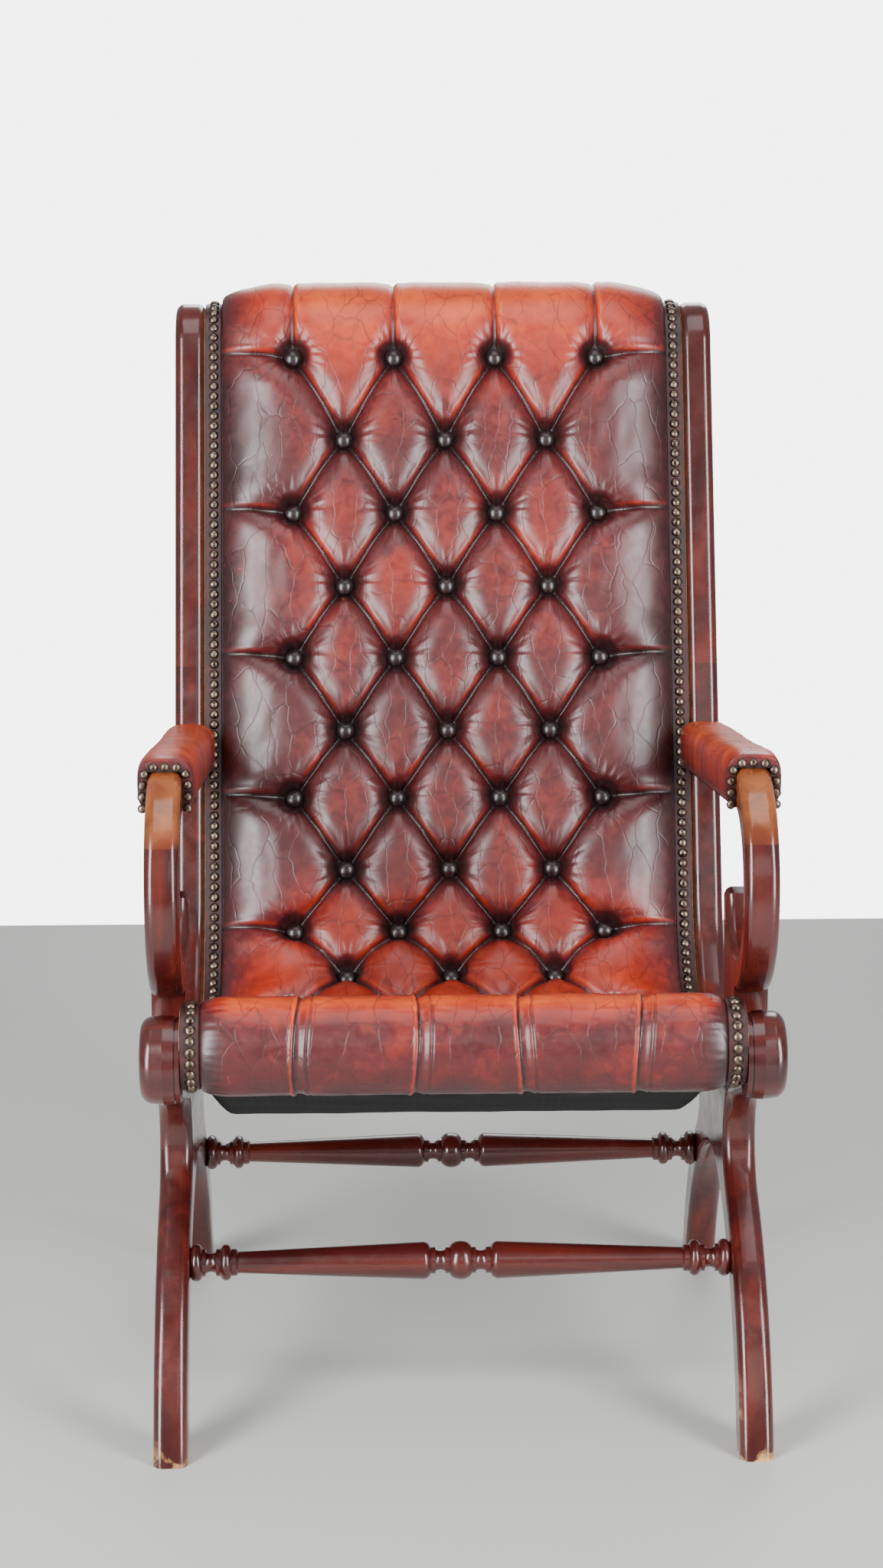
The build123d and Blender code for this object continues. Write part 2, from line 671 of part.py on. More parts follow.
sections = panel_sections()
seam_run = min(sections, key=lambda run: abs(run - (row_runs[rows_on_back - 1] + row_runs[rows_on_back]) / 2))
seam_shape = sections.pop(seam_run)
sections[seam_run - soft_clearance / 2] = seam_shape
sections[seam_run + soft_clearance / 2] = seam_shape
keep("buttoned_seat", panel(sections, 0, seam_run))
keep("buttoned_back", panel(sections, seam_run, back_end + 2 * pi * crest_radius))


def facing(x, run, offset, outwards=1):
    # Place on the side profile, turned to stand away from it
    y, z, heading = path(run, offset)
    return Plane(origin=(x, y, z), z_dir=(0, -sin(heading) * outwards, cos(heading) * outwards))


def domed(radius, height, rim=0):
    # Domed head, part of a ball, standing on its own rim
    out, up = cap_middle(radius, height - rim)
    edges = [Line((0, 0), (radius, 0)),
             ThreePointArc((radius, rim), (out, rim + up), (0, height)),
             Line((0, height), (0, 0))]
    if rim > 0:
        edges.append(Line((radius, 0), (radius, rim)))
    return revolve(Plane.XZ * make_face(edges), axis=Axis.Z)


button = domed(button_radius, button_height, button_height / 3)
keep("tufting_buttons", Compound(children=[facing(x, run, button_seat) * button
                                           for run, columns in rows for x in columns]))

# Leather gimp along the edges of the buttoned panels and round the front roll
gimp_outer_x = board_inner_x - soft_clearance
gimp_inner_x = gimp_outer_x - gimp_width
gimp_top = gimp_thick - liner_set_back
tail_run = back_end + crest_tail_turn * crest_radius


def ring(inner, outer):
    # Ring sector about the front roll's core
    middle = (roll_back_angle + roll_under_angle) / 2
    edges = [Line(polar(core, inner, angle), polar(core, outer, angle))
             for angle in (roll_back_angle, roll_under_angle)]
    for radius in (inner, outer):
        edges.append(arc(core, radius, roll_back_angle, middle))
        edges.append(arc(core, radius, middle, roll_under_angle))
    return make_face(edges)


gimp = [prism(band(core_set + core_radius, tail_run, -liner_set_back, gimp_top), gimp_inner_x, gimp_outer_x),
        prism(ring(core_radius, core_radius + gimp_thick), gimp_inner_x, gimp_outer_x)]
keep_pair("edge_gimp", Compound(children=gimp))

# Front roll: a padded cover round its core, drawn in at the ends and at four pleats
roll_inner = core_radius + soft_clearance


def roll_section(x, share):
    outer = roll_inner + (roll_cover - soft_clearance) * share
    return Pos(x, 0, 0) * (Plane.YZ * ring(roll_inner, outer))


stations = {}
for side in (-1, 1):
    for place, share in roll_end_shares:
        stations[side * (pad_half_width - place * roll_end_draw)] = share
for share in four_column_shares:
    stations[share * roll_pleat_pitch] = roll_pleat_share
    stations[share * roll_pleat_pitch - roll_pleat_half] = 1
    stations[share * roll_pleat_pitch + roll_pleat_half] = 1
keep("front_roll", loft([roll_section(x, stations[x]) for x in sorted(stations)], ruled=True))

# Domed nails along the gimp
nail = domed(nail_radius, nail_height)
nail_x = board_inner_x - nail_in
nail_lift = hole_clearance + nail_radius ** 2 / (2 * (bend_radius - gimp_top))


def nail_runs(start, end):
    count = int((end - start) / nail_pitch)
    return [start + (end - start) * step / count for step in range(count + 1)]


keep_pair("edge_nails", Compound(children=[facing(nail_x, run, gimp_top + nail_lift) * nail
                                           for run in nail_runs(pad_start, tail_run - nail_pitch)]))
nail_turn = degrees(nail_pitch / (core_radius + gimp_thick))
roll_nails = []
for step in range(int((roll_under_angle - roll_back_angle) / nail_turn)):
    angle = roll_under_angle - nail_turn * (step + 1 / 2)
    place = polar(core, core_radius + gimp_thick, angle)
    seat = Plane(origin=(nail_x, *place), z_dir=(0, cos(radians(angle)), sin(radians(angle))))
    roll_nails.append(seat * nail)
keep_pair("roll_nails", Compound(children=roll_nails))

# Outside back: a leather panel over the liners, nailed down both sides
panel_start = bend_end + panel_margin
panel_end = back_end - crest_core_radius
leather_back = liner_back - leather_thick
back_leather = band(panel_start, panel_end, leather_back, liner_back)
keep("outside_back", prism(back_leather, -gimp_outer_x, gimp_outer_x))
keep("outside_back_nails", Compound(children=[
    facing(side * nail_x, run, leather_back, -1) * nail
    for side in (-1, 1) for run in nail_runs(panel_start + nail_pitch, panel_end - nail_pitch)]))

# Dust cover under the seat
cover = band(pad_start, bend_end - panel_margin, liner_back - cover_thick, liner_back)
keep("dust_cover", prism(cover, -gimp_outer_x, gimp_outer_x))


# Arm pads: crowned leather over the bearers
def arm_pad_section(y, height, width):
    half = pad_width / 2 * width
    edge_half = half - pad_side_draw / 2
    low_half = half - pad_side_draw
    low = pad_skirt - bearer_depth
    edge = pad_edge_rise * height
    middle = (low + edge) / 2
    plane = Plane(origin=(arm_mid_x, *on_arm(arm_top, y)), x_dir=(1, 0, 0),
                  z_dir=(0, -cos(arm_heading), -sin(arm_heading)))
    edges = [Line((-low_half, low), (low_half, low)),
             ThreePointArc((low_half, low), (half, middle), (edge_half, edge)),
             ThreePointArc((edge_half, edge), (0, pad_rise * height), (-edge_half, edge)),
             ThreePointArc((-edge_half, edge), (-half, middle), (-low_half, low))]
    return plane * make_face(edges)


def bearer_slot():
    # Room for the bearer under the pad, along the bearer's own top curve
    front = polar(swell, arm_outer_radius + soft_clearance, half_turn)
    top = polar(swell, arm_outer_radius + soft_clearance, quarter_turn - arm_slope)
    back = on_arm(top, arm_back_y)
    return make_face([arc(swell, arm_outer_radius + soft_clearance, half_turn, quarter_turn - arm_slope),
                      Line(top, back),
                      Line(back, (back[0], front[1])),
                      Line((back[0], front[1]), front)])


pad_front_y = swell[0] - pad_nose_reach
pad_sections = [arm_pad_section(pad_front_y + place * pad_nose_draw, height, width)
                for place, height, width in pad_nose_shares]
pad_sections.append(arm_pad_section(arm_back_y, 1, 1))
arm_pad = loft(pad_sections, ruled=True)
arm_pad -= prism(bearer_slot(), board_inner_x - soft_clearance, board_inner_x + arm_thick + soft_clearance)
for gap, reach in ((soft_clearance, 2 * board_outer_x), (pad_back_gap, board_inner_x)):
    arm_pad -= prism(band(bend_end, back_end, -stile_depth - overrun, gap), 0, reach)
keep_pair("arm_pad", arm_pad)

# Nails round the front of each arm pad, close over the bearer's rounded top
wood_drop = on_arm(arm_top, pad_front_y)[1] - swell[1] - sqrt(arm_outer_radius ** 2 - pad_nose_reach ** 2)
wrap = arm_round + nail_radius + soft_clearance
wrap_flat = arm_thick / 2 - arm_round


def pad_nail_place(way):
    # Place across and up, at a distance along the row from its top
    turn = min(max((abs(way) - wrap_flat) / wrap, 0), pi / 2)
    fall_left = max(abs(way) - wrap_flat - wrap * pi / 2, 0)
    reach = min(abs(way), wrap_flat) + wrap * sin(turn)
    side = 1 if way > 0 else -1
    return side * reach, wrap * cos(turn) - arm_round - wood_drop - fall_left


nail_places = [pad_nail_place(step * arm_nail_pitch) for step in range(-arm_nail_steps, arm_nail_steps + 1)]
nose = Plane(origin=(arm_mid_x, *on_arm(arm_top, pad_front_y)), x_dir=(1, 0, 0),
             z_dir=(0, -cos(arm_heading), -sin(arm_heading)))
keep_pair("arm_nails", Compound(children=[nose * Pos(x, rise, 0) * nail for x, rise in nail_places]))

# The whole chair stands on Z = 0, centred over its own outline
boxes = [shape.bounding_box() for shape in nodes.values()]
middle_y = (min(box.min.Y for box in boxes) + max(box.max.Y for box in boxes)) / 2
for name, shape in nodes.items():
    export_step(Pos(0, -middle_y, 0) * shape, f"parts/{name}.step")
print("middle of the chair behind its front", round(middle_y, 2))
print("height", round(max(box.max.Z for box in boxes), 2))
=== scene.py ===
import math
import bmesh
import bpy
import numpy as np
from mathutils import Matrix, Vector


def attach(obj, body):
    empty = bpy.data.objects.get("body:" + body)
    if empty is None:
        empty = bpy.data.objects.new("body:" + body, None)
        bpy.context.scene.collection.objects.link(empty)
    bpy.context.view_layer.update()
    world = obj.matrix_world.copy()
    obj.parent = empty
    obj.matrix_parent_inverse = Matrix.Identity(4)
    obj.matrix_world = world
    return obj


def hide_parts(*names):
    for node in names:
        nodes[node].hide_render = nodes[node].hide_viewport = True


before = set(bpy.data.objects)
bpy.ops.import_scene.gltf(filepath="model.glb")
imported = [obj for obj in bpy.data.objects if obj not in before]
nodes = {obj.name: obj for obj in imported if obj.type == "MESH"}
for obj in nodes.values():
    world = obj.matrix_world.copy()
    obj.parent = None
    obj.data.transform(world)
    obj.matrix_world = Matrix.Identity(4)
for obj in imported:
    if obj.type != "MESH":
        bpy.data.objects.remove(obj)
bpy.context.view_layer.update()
print("frame loaded:", len(nodes), "nodes")

# The chair's side profile, in metres: a falling seat, a bend, a leaning back and a crest
profile = {
    "fall": math.radians(20),
    "lean": math.radians(71),
    "bendRadius": 0.150,
    "bendY": 0.352,
    "bendZ": 0.455,
    "backLength": 0.591,
    "crestRadius": 0.048,
    "railDepth": 0.064,
    "roundelRadius": 0.040,
    "middleY": 0.39501,       # from the roundels' front, where y is zero here, to the chair's middle
}
seatFrontY = profile["roundelRadius"] + profile["railDepth"] / 2 * math.sin(profile["fall"])
bendInY = profile["bendY"] - profile["bendRadius"] * math.sin(profile["fall"])
bendInZ = profile["bendZ"] - profile["bendRadius"] * math.cos(profile["fall"])
bendOutY = profile["bendY"] + profile["bendRadius"] * math.sin(profile["lean"])
bendOutZ = profile["bendZ"] - profile["bendRadius"] * math.cos(profile["lean"])
seatRun = (bendInY - seatFrontY) / math.cos(profile["fall"])
bendEnd = seatRun + profile["bendRadius"] * (profile["fall"] + profile["lean"])
backEnd = bendEnd + profile["backLength"]
crestY = (bendOutY + profile["backLength"] * math.cos(profile["lean"])
          + profile["crestRadius"] * math.sin(profile["lean"]))
crestZ = (bendOutZ + profile["backLength"] * math.sin(profile["lean"])
          - profile["crestRadius"] * math.cos(profile["lean"]))


def alongProfile(run, offset):
    # places (y, z) at distances along the side profile, and the way the front faces there
    run = np.asarray(run, dtype=float)
    heading = np.where(run < seatRun, -profile["fall"],
                       np.where(run < bendEnd, -profile["fall"] + (run - seatRun) / profile["bendRadius"],
                                np.where(run < backEnd, profile["lean"],
                                         profile["lean"] - (run - backEnd) / profile["crestRadius"])))
    y = np.where(run < seatRun, seatFrontY + run * math.cos(profile["fall"]),
                 np.where(run < bendEnd, profile["bendY"] + profile["bendRadius"] * np.sin(heading),
                          np.where(run < backEnd, bendOutY + (run - bendEnd) * math.cos(profile["lean"]),
                                   crestY - profile["crestRadius"] * np.sin(heading))))
    z = np.where(run < seatRun, bendInZ + (seatRun - run) * math.sin(profile["fall"]),
                 np.where(run < bendEnd, profile["bendZ"] - profile["bendRadius"] * np.cos(heading),
                          np.where(run < backEnd, bendOutZ + (run - bendEnd) * math.sin(profile["lean"]),
                                   crestZ + profile["crestRadius"] * np.cos(heading))))
    faceY, faceZ = -np.sin(heading), np.cos(heading)
    return y + faceY * offset - profile["middleY"], z + faceZ * offset, faceY, faceZ


def smoothStep(low, high, value):
    share = np.clip((value - low) / (high - low), 0, 1)
    return share * share * (3 - 2 * share)


def rounded(share, power=2, lift=0.5):
    # rises from 0 to 1, steep at first and level at the end
    return (1 - (1 - share) ** power) ** lift


def hump(value, size, middle, width, power=2):
    # as high as its size at the middle, and falling away on both sides
    return size * np.exp(-((value - middle) / width) ** power)


def ripple(x, y, seed, waves=7, size=0.03):
    # smooth, fixed unevenness made of a few crossing waves
    rng = np.random.default_rng(seed)
    total = np.zeros(np.broadcast(x, y).shape)
    for _ in range(waves):
        turn, phase = rng.uniform(0, math.pi), rng.uniform(0, 2 * math.pi)
        length = size * rng.uniform(0.5, 1.6)
        total += np.sin((x * math.cos(turn) + y * math.sin(turn)) * 2 * math.pi / length + phase)
    return total / waves


def makeObject(name, vertices, faces, smooth=True, values=None):
    mesh = bpy.data.meshes.new(name)
    mesh.from_pydata([tuple(v) for v in vertices], [], faces)
    if values is not None:
        for label, numbers in values.items():
            mesh.attributes.new(label, "FLOAT", "POINT").data.foreach_set("value", np.ravel(numbers))
    work = bmesh.new()
    work.from_mesh(mesh)
    bmesh.ops.recalc_face_normals(work, faces=work.faces)
    for edge in work.edges:
        # edges of the many-sided end faces stay crisp
        edge.smooth = max((len(face.verts) for face in edge.link_faces), default=4) < 7
    work.to_mesh(mesh)
    work.free()
    mesh.polygons.foreach_set("use_smooth", [smooth] * len(mesh.polygons))
    mesh.update()
    piece = bpy.data.objects.new(name, mesh)
    bpy.context.scene.collection.objects.link(piece)
    return piece


def ringFaces(rings, count, start=0):
    # walls between closed rings, and a face at each end
    faces = []
    for ring in range(rings - 1):
        low, high = start + ring * count, start + (ring + 1) * count
        for step in range(count):
            after = (step + 1) % count
            faces.append((low + step, low + after, high + after, high + step))
    faces.append(tuple(range(start, start + count)))
    faces.append(tuple(range(start + (rings - 1) * count, start + rings * count)))
    return faces


def makeRings(name, rings, values=None):
    # closed form from an array of rings of points
    count = rings.shape[1]
    return makeObject(name, rings.reshape(-1, 3), ringFaces(rings.shape[0], count), values=values)


def finishPiece(piece, material, slotName, *replaced):
    piece.data.materials.clear()
    piece.data.materials.append(material)
    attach(piece, "root")
    if replaced:
        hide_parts(*replaced)
    return piece


# Materials
def linearColour(code):
    channels = [int(code[place:place + 2], 16) / 255 for place in (1, 3, 5)]
    return tuple(c / 12.92 if c <= 0.04045 else ((c + 0.055) / 1.055) ** 2.4 for c in channels) + (1.0,)


def addNode(tree, kind, settings=None, links=None, stops=()):
    # one node, its settings (its own or its inputs' values), what feeds it, and a ramp's colours;
    # a node that feeds it stands for its first output
    node = tree.nodes.new(kind)
    for key, value in (settings or {}).items():
        if isinstance(key, str) and hasattr(node, key):
            setattr(node, key, value)
        else:
            node.inputs[key].default_value = value
    for key, source in (links or {}).items():
        if isinstance(source, bpy.types.Node):
            source = source.outputs[0]
        tree.links.new(source, node.inputs[key])
    if stops:
        elements = node.color_ramp.elements
        while len(elements) < len(stops):
            elements.new(0.5)
        for element, (position, code) in zip(elements, stops):
            element.position = position
            element.color = linearColour(code)
    return node


def newMaterial(name, settings):
    material = bpy.data.materials.new(name)
    material.use_nodes = True
    tree = material.node_tree
    tree.nodes.clear()
    shader = addNode(tree, "ShaderNodeBsdfPrincipled", settings)
    addNode(tree, "ShaderNodeOutputMaterial", links={"Surface": shader})
    place = addNode(tree, "ShaderNodeTexCoord").outputs["Object"]
    return material, tree, shader, place


def feedShader(tree, shader, colour, roughness, relief):
    for key, source in (("Base Color", colour), ("Roughness", roughness), ("Normal", relief)):
        if source is not None:
            tree.links.new(source, shader.inputs[key])


# French-polished mahogany: red-brown timber with fine dark pores along the grain,
# under many thin coats of shellac that shine like still water
mahoganyLook = {
    "dark": "#260808",
    "middle": "#3c110f",
    "light": "#571c13",
    "rubbed": "#a45a26",
    "chipped": "#b98a58",
    "figureWidth": 0.030,             # metres between the figure's broad bands
    "figureStretch": 0.12,            # their width as a share of their length
    "poreLength": 0.012,
    "poreWidth": 0.0011,              # real pores are finer; this coarse they still show
    "poreDepth": 0.0004,
    "wearSize": 0.02632,              # metres across a patch of wear
    "rubbedY": (-0.20, -0.33),        # where the rubbing of the arms starts, and where it is full
    "rubbedZ": (0.560, 0.604),
    "chippedZ": (0.024, 0.002),       # the same for the chips round the feet
    "nickedZ": (0.085, 0.005),        # and for the nicks in the legs' arrises
    "innerArris": (0.2540, 0.2508),
    "outerArris": (0.2800, 0.2828),
}


def mahogany(name, grain, wornAt=""):
    look = mahoganyLook
    material, tree, shader, place = newMaterial(name, {
        "Roughness": 0.3, "IOR": 1.5, "Coat Weight": 0.3, "Coat Roughness": 0.07, "Coat IOR": 1.52})
    bandScale = [look["figureStretch"] if axis == grain else 1.0 for axis in range(3)]
    long = addNode(tree, "ShaderNodeMapping", {"Scale": bandScale}, {"Vector": place})
    figure = addNode(tree, "ShaderNodeTexNoise", {
        "Scale": 1 / look["figureWidth"], "Detail": 5.0, "Distortion": 0.7}, {"Vector": long})
    timber = addNode(tree, "ShaderNodeValToRGB", links={"Fac": figure}, stops=[
        (0.26, look["dark"]), (0.5, look["middle"]), (0.76, look["light"])])
    poreScale = [1 / look["poreLength"] if axis == grain else 1 / look["poreWidth"] for axis in range(3)]
    fine = addNode(tree, "ShaderNodeMapping", {"Scale": poreScale}, {"Vector": place})
    pores = addNode(tree, "ShaderNodeTexNoise", {"Scale": 1.0, "Detail": 2.0}, {"Vector": fine})
    poreShare = addNode(tree, "ShaderNodeMapRange", {
        "From Min": 0.56, "From Max": 0.7, "To Max": 0.4}, {"Value": pores})
    colour = addNode(tree, "ShaderNodeMix", {"data_type": "RGBA", 7: linearColour(look["dark"])},
                     {0: poreShare, 6: timber}).outputs[2]
    parts = addNode(tree, "ShaderNodeSeparateXYZ", links={"Vector": place})
    wear = addNode(tree, "ShaderNodeTexNoise", {
        "Scale": 1 / look["wearSize"], "Detail": 6.0, "Distortion": 0.6}, {"Vector": place})
    if wornAt == "arms":
        # hands have rubbed the front of the arms down to the orange-brown timber,
        # most of all just under the pad and less towards the splice
        front = addNode(tree, "ShaderNodeMapRange", {
            "From Min": look["rubbedY"][0], "From Max": look["rubbedY"][1]}, {"Value": parts.outputs["Y"]})
        upper = addNode(tree, "ShaderNodeMapRange", {
            "From Min": look["rubbedZ"][0], "From Max": look["rubbedZ"][1], "To Min": 0.16},
            {"Value": parts.outputs["Z"]})
        patchy = addNode(tree, "ShaderNodeMapRange", {
            "From Min": 0.36, "From Max": 0.62, "To Min": 0.45, "To Max": 0.95}, {"Value": wear})
        bare = front
        for area in (patchy, upper):
            bare = addNode(tree, "ShaderNodeMath", {"operation": "MULTIPLY"}, {0: bare, 1: area})
        colour = addNode(tree, "ShaderNodeMix", {"data_type": "RGBA", 7: linearColour(look["rubbed"])},
                         {0: bare, 6: colour}).outputs[2]
    if wornAt == "feet":
        # chipped feet and nicked arrises show the bare timber
        across = addNode(tree, "ShaderNodeMath", {"operation": "ABSOLUTE"}, {0: parts.outputs["X"]})
        inner, outer, low, foot = [
            addNode(tree, "ShaderNodeMapRange", {"From Min": start, "From Max": full}, {"Value": source})
            for source, (start, full) in ((across, look["innerArris"]), (across, look["outerArris"]),
                                          (parts.outputs["Z"], look["nickedZ"]),
                                          (parts.outputs["Z"], look["chippedZ"]))]
        arris = addNode(tree, "ShaderNodeMath", {"operation": "MAXIMUM"}, {0: inner, 1: outer})
        lowArris = addNode(tree, "ShaderNodeMath", {"operation": "MULTIPLY"}, {0: arris, 1: low})
        for area, patches in ((foot, {"From Min": 0.46, "From Max": 0.54}),
                              (lowArris, {"From Min": 0.53, "From Max": 0.6, "To Max": 0.8})):
            patchy = addNode(tree, "ShaderNodeMapRange", patches, {"Value": wear})
            bare = addNode(tree, "ShaderNodeMath", {"operation": "MULTIPLY"}, {0: area, 1: patchy})
            colour = addNode(tree, "ShaderNodeMix", {"data_type": "RGBA", 7: linearColour(look["chipped"])},
                             {0: bare, 6: colour}).outputs[2]
    dullness = addNode(tree, "ShaderNodeMapRange", {
        "From Min": 0.3, "From Max": 0.75, "To Min": 0.16, "To Max": 0.34}, {"Value": wear})
    relief = addNode(tree, "ShaderNodeBump", {"Strength": 0.12, "Distance": look["poreDepth"]},
                     {"Height": pores})
    feedShader(tree, shader, colour, dullness.outputs["Result"], relief.outputs["Normal"])
    return material


# Hand-antiqued oxblood hide: burgundy dye wiped back on the crowns so that the
# orange-red ground shows, with painted shade near black round the buttons and in the folds,
# and fine old creases that run up and down, darkened along them by painted shade
leatherLook = {
    # darkest stop: painted shade in the folds and round the buttons
    "seam": "#0c0302",
    "shade": "#280708",
    "oxblood": "#4a0c10",
    "rubbed": "#932204",
    "worn": "#bd4404",
    "cloudSize": 0.0625,      # metres across the broad clouds of colour
    "cloudShare": 0.42,
    "mottleSize": 0.01111,    # metres across the fine mottling
    "mottleShare": 0.26,
    "scuffSize": 0.01613,
    "grainSize": 0.0014,      # hide grain, drawn a little coarse
    "grainDepth": 0.0003,
    "creaseWidth": 0.024,     # metres between the creases
    "creaseStretch": 0.4,     # their width as a share of their length
    "creaseDepth": 0.0005,
    "swirlSize": 0.04545,     # the creases swirl this wide, and wander this far
    "swirlReach": 0.03,
}


def hide(name, bright=0.0):
    look = leatherLook
    material, tree, shader, place = newMaterial(name, {
        "Roughness": 0.4, "IOR": 1.5, "Coat Weight": 0.25, "Coat Roughness": 0.26})
    clouds, mottling, scuffs = [
        addNode(tree, "ShaderNodeTexNoise", {"Scale": 1 / look[size], "Detail": detail, "Distortion": bend},
                {"Vector": place})
        for size, detail, bend in (
            ("cloudSize", 6.0, 0.4), ("mottleSize", 5.0, 0.8), ("scuffSize", 8.0, 2.5))]
    # per-point value: how far the hide is rubbed, plus painted shade in folds and pits and painted highlight
    # on fold lips
    rub = addNode(tree, "ShaderNodeAttribute", {"attribute_name": "rub"}).outputs["Fac"]
    for pattern, share, lift in ((clouds, look["cloudShare"], bright), (mottling, look["mottleShare"], 0.0)):
        uneven = addNode(tree, "ShaderNodeMath", {
            "operation": "MULTIPLY_ADD", 1: share, 2: lift - share / 2}, {0: pattern})
        rub = addNode(tree, "ShaderNodeMath", {"operation": "ADD"}, {0: rub, 1: uneven})
    # the ramp gives the hide's dye colours, and its darkest stops the painted shade of the folds and pits
    dyeAndShading = addNode(tree, "ShaderNodeValToRGB", links={"Fac": rub}, stops=[
        (0.02, look["seam"]), (0.24, look["shade"]), (0.48, look["oxblood"]),
        (0.78, look["rubbed"]), (1.0, look["worn"])])
    scuffed = addNode(tree, "ShaderNodeMapRange", {
        "From Min": 0.69, "From Max": 0.76, "To Max": 0.7}, {"Value": scuffs})
    colour = addNode(tree, "ShaderNodeMix", {"data_type": "RGBA", 7: linearColour(look["rubbed"])},
                     {0: scuffed, 6: dyeAndShading}).outputs[2]
    swirl = addNode(tree, "ShaderNodeTexNoise", {"Scale": 1 / look["swirlSize"], "Detail": 3.0},
                    {"Vector": place})
    wander = addNode(tree, "ShaderNodeVectorMath", {"operation": "SCALE", "Scale": look["swirlReach"]},
                     {0: swirl.outputs["Color"]})
    moved = addNode(tree, "ShaderNodeVectorMath", {"operation": "ADD"}, {0: place, 1: wander})
    long = addNode(tree, "ShaderNodeMapping", {"Scale": (1, look["creaseStretch"], look["creaseStretch"])},
                   {"Vector": moved})
    creases = addNode(tree, "ShaderNodeTexVoronoi", {
        "feature": "DISTANCE_TO_EDGE", "Scale": 1 / look["creaseWidth"]}, {"Vector": long})
    creaseRise = addNode(tree, "ShaderNodeMapRange", {"From Max": 0.035}, {"Value": creases})
    # painted shade darkens the hide along its fine creases
    creaseShade = addNode(tree, "ShaderNodeMapRange", {
        "From Min": 0.004, "From Max": 0.026, "To Min": 0.42, "To Max": 0.0}, {"Value": creases})
    colour = addNode(tree, "ShaderNodeMix", {"data_type": "RGBA", 7: linearColour(look["shade"])},
                     {0: creaseShade, 6: colour}).outputs[2]
    dullness = addNode(tree, "ShaderNodeMapRange", {
        "From Min": 0.3, "From Max": 0.75, "To Min": 0.34, "To Max": 0.47}, {"Value": mottling})
    grain = addNode(tree, "ShaderNodeTexVoronoi", {"Scale": 1 / look["grainSize"]}, {"Vector": place})
    grainRelief = addNode(tree, "ShaderNodeBump", {"Strength": 0.12, "Distance": look["grainDepth"]},
                          {"Height": grain})
    relief = addNode(tree, "ShaderNodeBump", {"Strength": 0.36, "Distance": look["creaseDepth"]},
                     {"Height": creaseRise, "Normal": grainRelief})
    feedShader(tree, shader, colour, dullness.outputs["Result"], relief.outputs["Normal"])
    return material


def mottled(name, dark, light, patchSize, settings, depth=0.0003, stretch=(1, 1, 1)):
    material, tree, shader, place = newMaterial(name, settings)
    long = addNode(tree, "ShaderNodeMapping", {"Scale": stretch}, {"Vector": place})
    patches = addNode(tree, "ShaderNodeTexNoise", {
        "Scale": 1 / patchSize, "Detail": 6.0, "Distortion": 0.4}, {"Vector": long})
    colour = addNode(tree, "ShaderNodeValToRGB", links={"Fac": patches}, stops=[(0.32, dark), (0.68, light)])
    relief = addNode(tree, "ShaderNodeBump", {"Strength": 0.4, "Distance": depth}, {"Height": patches})
    feedShader(tree, shader, colour.outputs["Color"], None, relief.outputs["Normal"])
    return material


def woven(name, dark, light, threadPitch, roughness):
    # plain weave of two crossing rows of threads; a row repeats every 2 pi / 20 at a scale of 1
    material, tree, shader, place = newMaterial(name, {"Roughness": roughness, "Specular IOR Level": 0.25})
    warp, weft = [
        addNode(tree, "ShaderNodeTexWave", {
            "bands_direction": way, "Scale": 2 * math.pi / 20 / threadPitch, "Distortion": 0.6},
            {"Vector": place}).outputs["Fac"]
        for way in ("X", "Y")]
    weave = addNode(tree, "ShaderNodeMath", {"operation": "MULTIPLY"}, {0: warp, 1: weft})
    colour = addNode(tree, "ShaderNodeValToRGB", links={"Fac": weave}, stops=[(0.1, dark), (0.8, light)])
    relief = addNode(tree, "ShaderNodeBump", {"Strength": 0.5, "Distance": 0.0004}, {"Height": weave})
    feedShader(tree, shader, colour.outputs["Color"], None, relief.outputs["Normal"])
    return material


mahoganyLegs = mahogany("mahoganyLegs", 2, "feet")
mahoganyUpright = mahogany("mahoganyUpright", 2)
mahoganyLevel = mahogany("mahoganyLevel", 1)
mahoganyTurned = mahogany("mahoganyTurned", 0)
mahoganyRubbed = mahogany("mahoganyRubbed", 1, "arms")
antiquedHide = hide("antiquedHide")
antiquedHideBright = hide("antiquedHideBright", 0.04)
# Edge banding: the same hide, left dark and plain
bandingHide = mottled("bandingHide", "#16060a", "#3a0f10", 0.01667,
                      {"Roughness": 0.42, "IOR": 1.48, "Coat Weight": 0.15, "Coat Roughness": 0.3})
# Button leather, skived thin and pulled tight, almost black with polish
buttonHide = mottled("buttonHide", "#0b0404", "#220a0a", 0.00833,
                     {"Roughness": 0.34, "IOR": 1.48, "Coat Weight": 0.2, "Coat Roughness": 0.22})
# Cast brass nails, lacquered brown and rubbed bright in spots
antiqueBrass = mottled("antiqueBrass", "#2b231f", "#857465", 0.003846, {"Metallic": 1.0, "Roughness": 0.36})
# Sawn beech, pale and dry, with short brown flecks
sawnBeech = mottled("sawnBeech", "#a8835a", "#cdac82", 0.03846, {"Roughness": 0.72, "IOR": 1.5},
                    0.0004, (1, 6, 6))
# Zinc-plated steel, dull grey and faintly spangled
zincSteel = mottled("zincSteel", "#6f7072", "#a3a4a6", 0.00333, {"Metallic": 1.0, "Roughness": 0.38})
# Woven jute, rough and sandy, and black cambric, flat and lightless;
# real threads are finer, and drawn this coarse they still show
juteWebbing = woven("juteWebbing", "#6d5530", "#b39763", 0.01382, 0.85)
blackCambric = woven("blackCambric", "#020203", "#0c0c0e", 0.00754, 0.8)
print("materials made")

woodMaterials = {"upper_stile": mahoganyUpright, "front_leg": mahoganyLegs, "rear_leg": mahoganyLegs,
                 "seat_rail": mahoganyLevel, "arm_scroll": mahoganyUpright, "arm_bearer": mahoganyRubbed,
                 "roundel": mahoganyTurned, "front_stretcher": mahoganyTurned,
                 "rear_stretcher": mahoganyTurned, "liner_screws": zincSteel}
for nodeName, node in nodes.items():
    base = nodeName.replace("_left", "").replace("_right", "")
    node.data.materials.clear()
    node.data.materials.append(woodMaterials.get(base, sawnBeech))

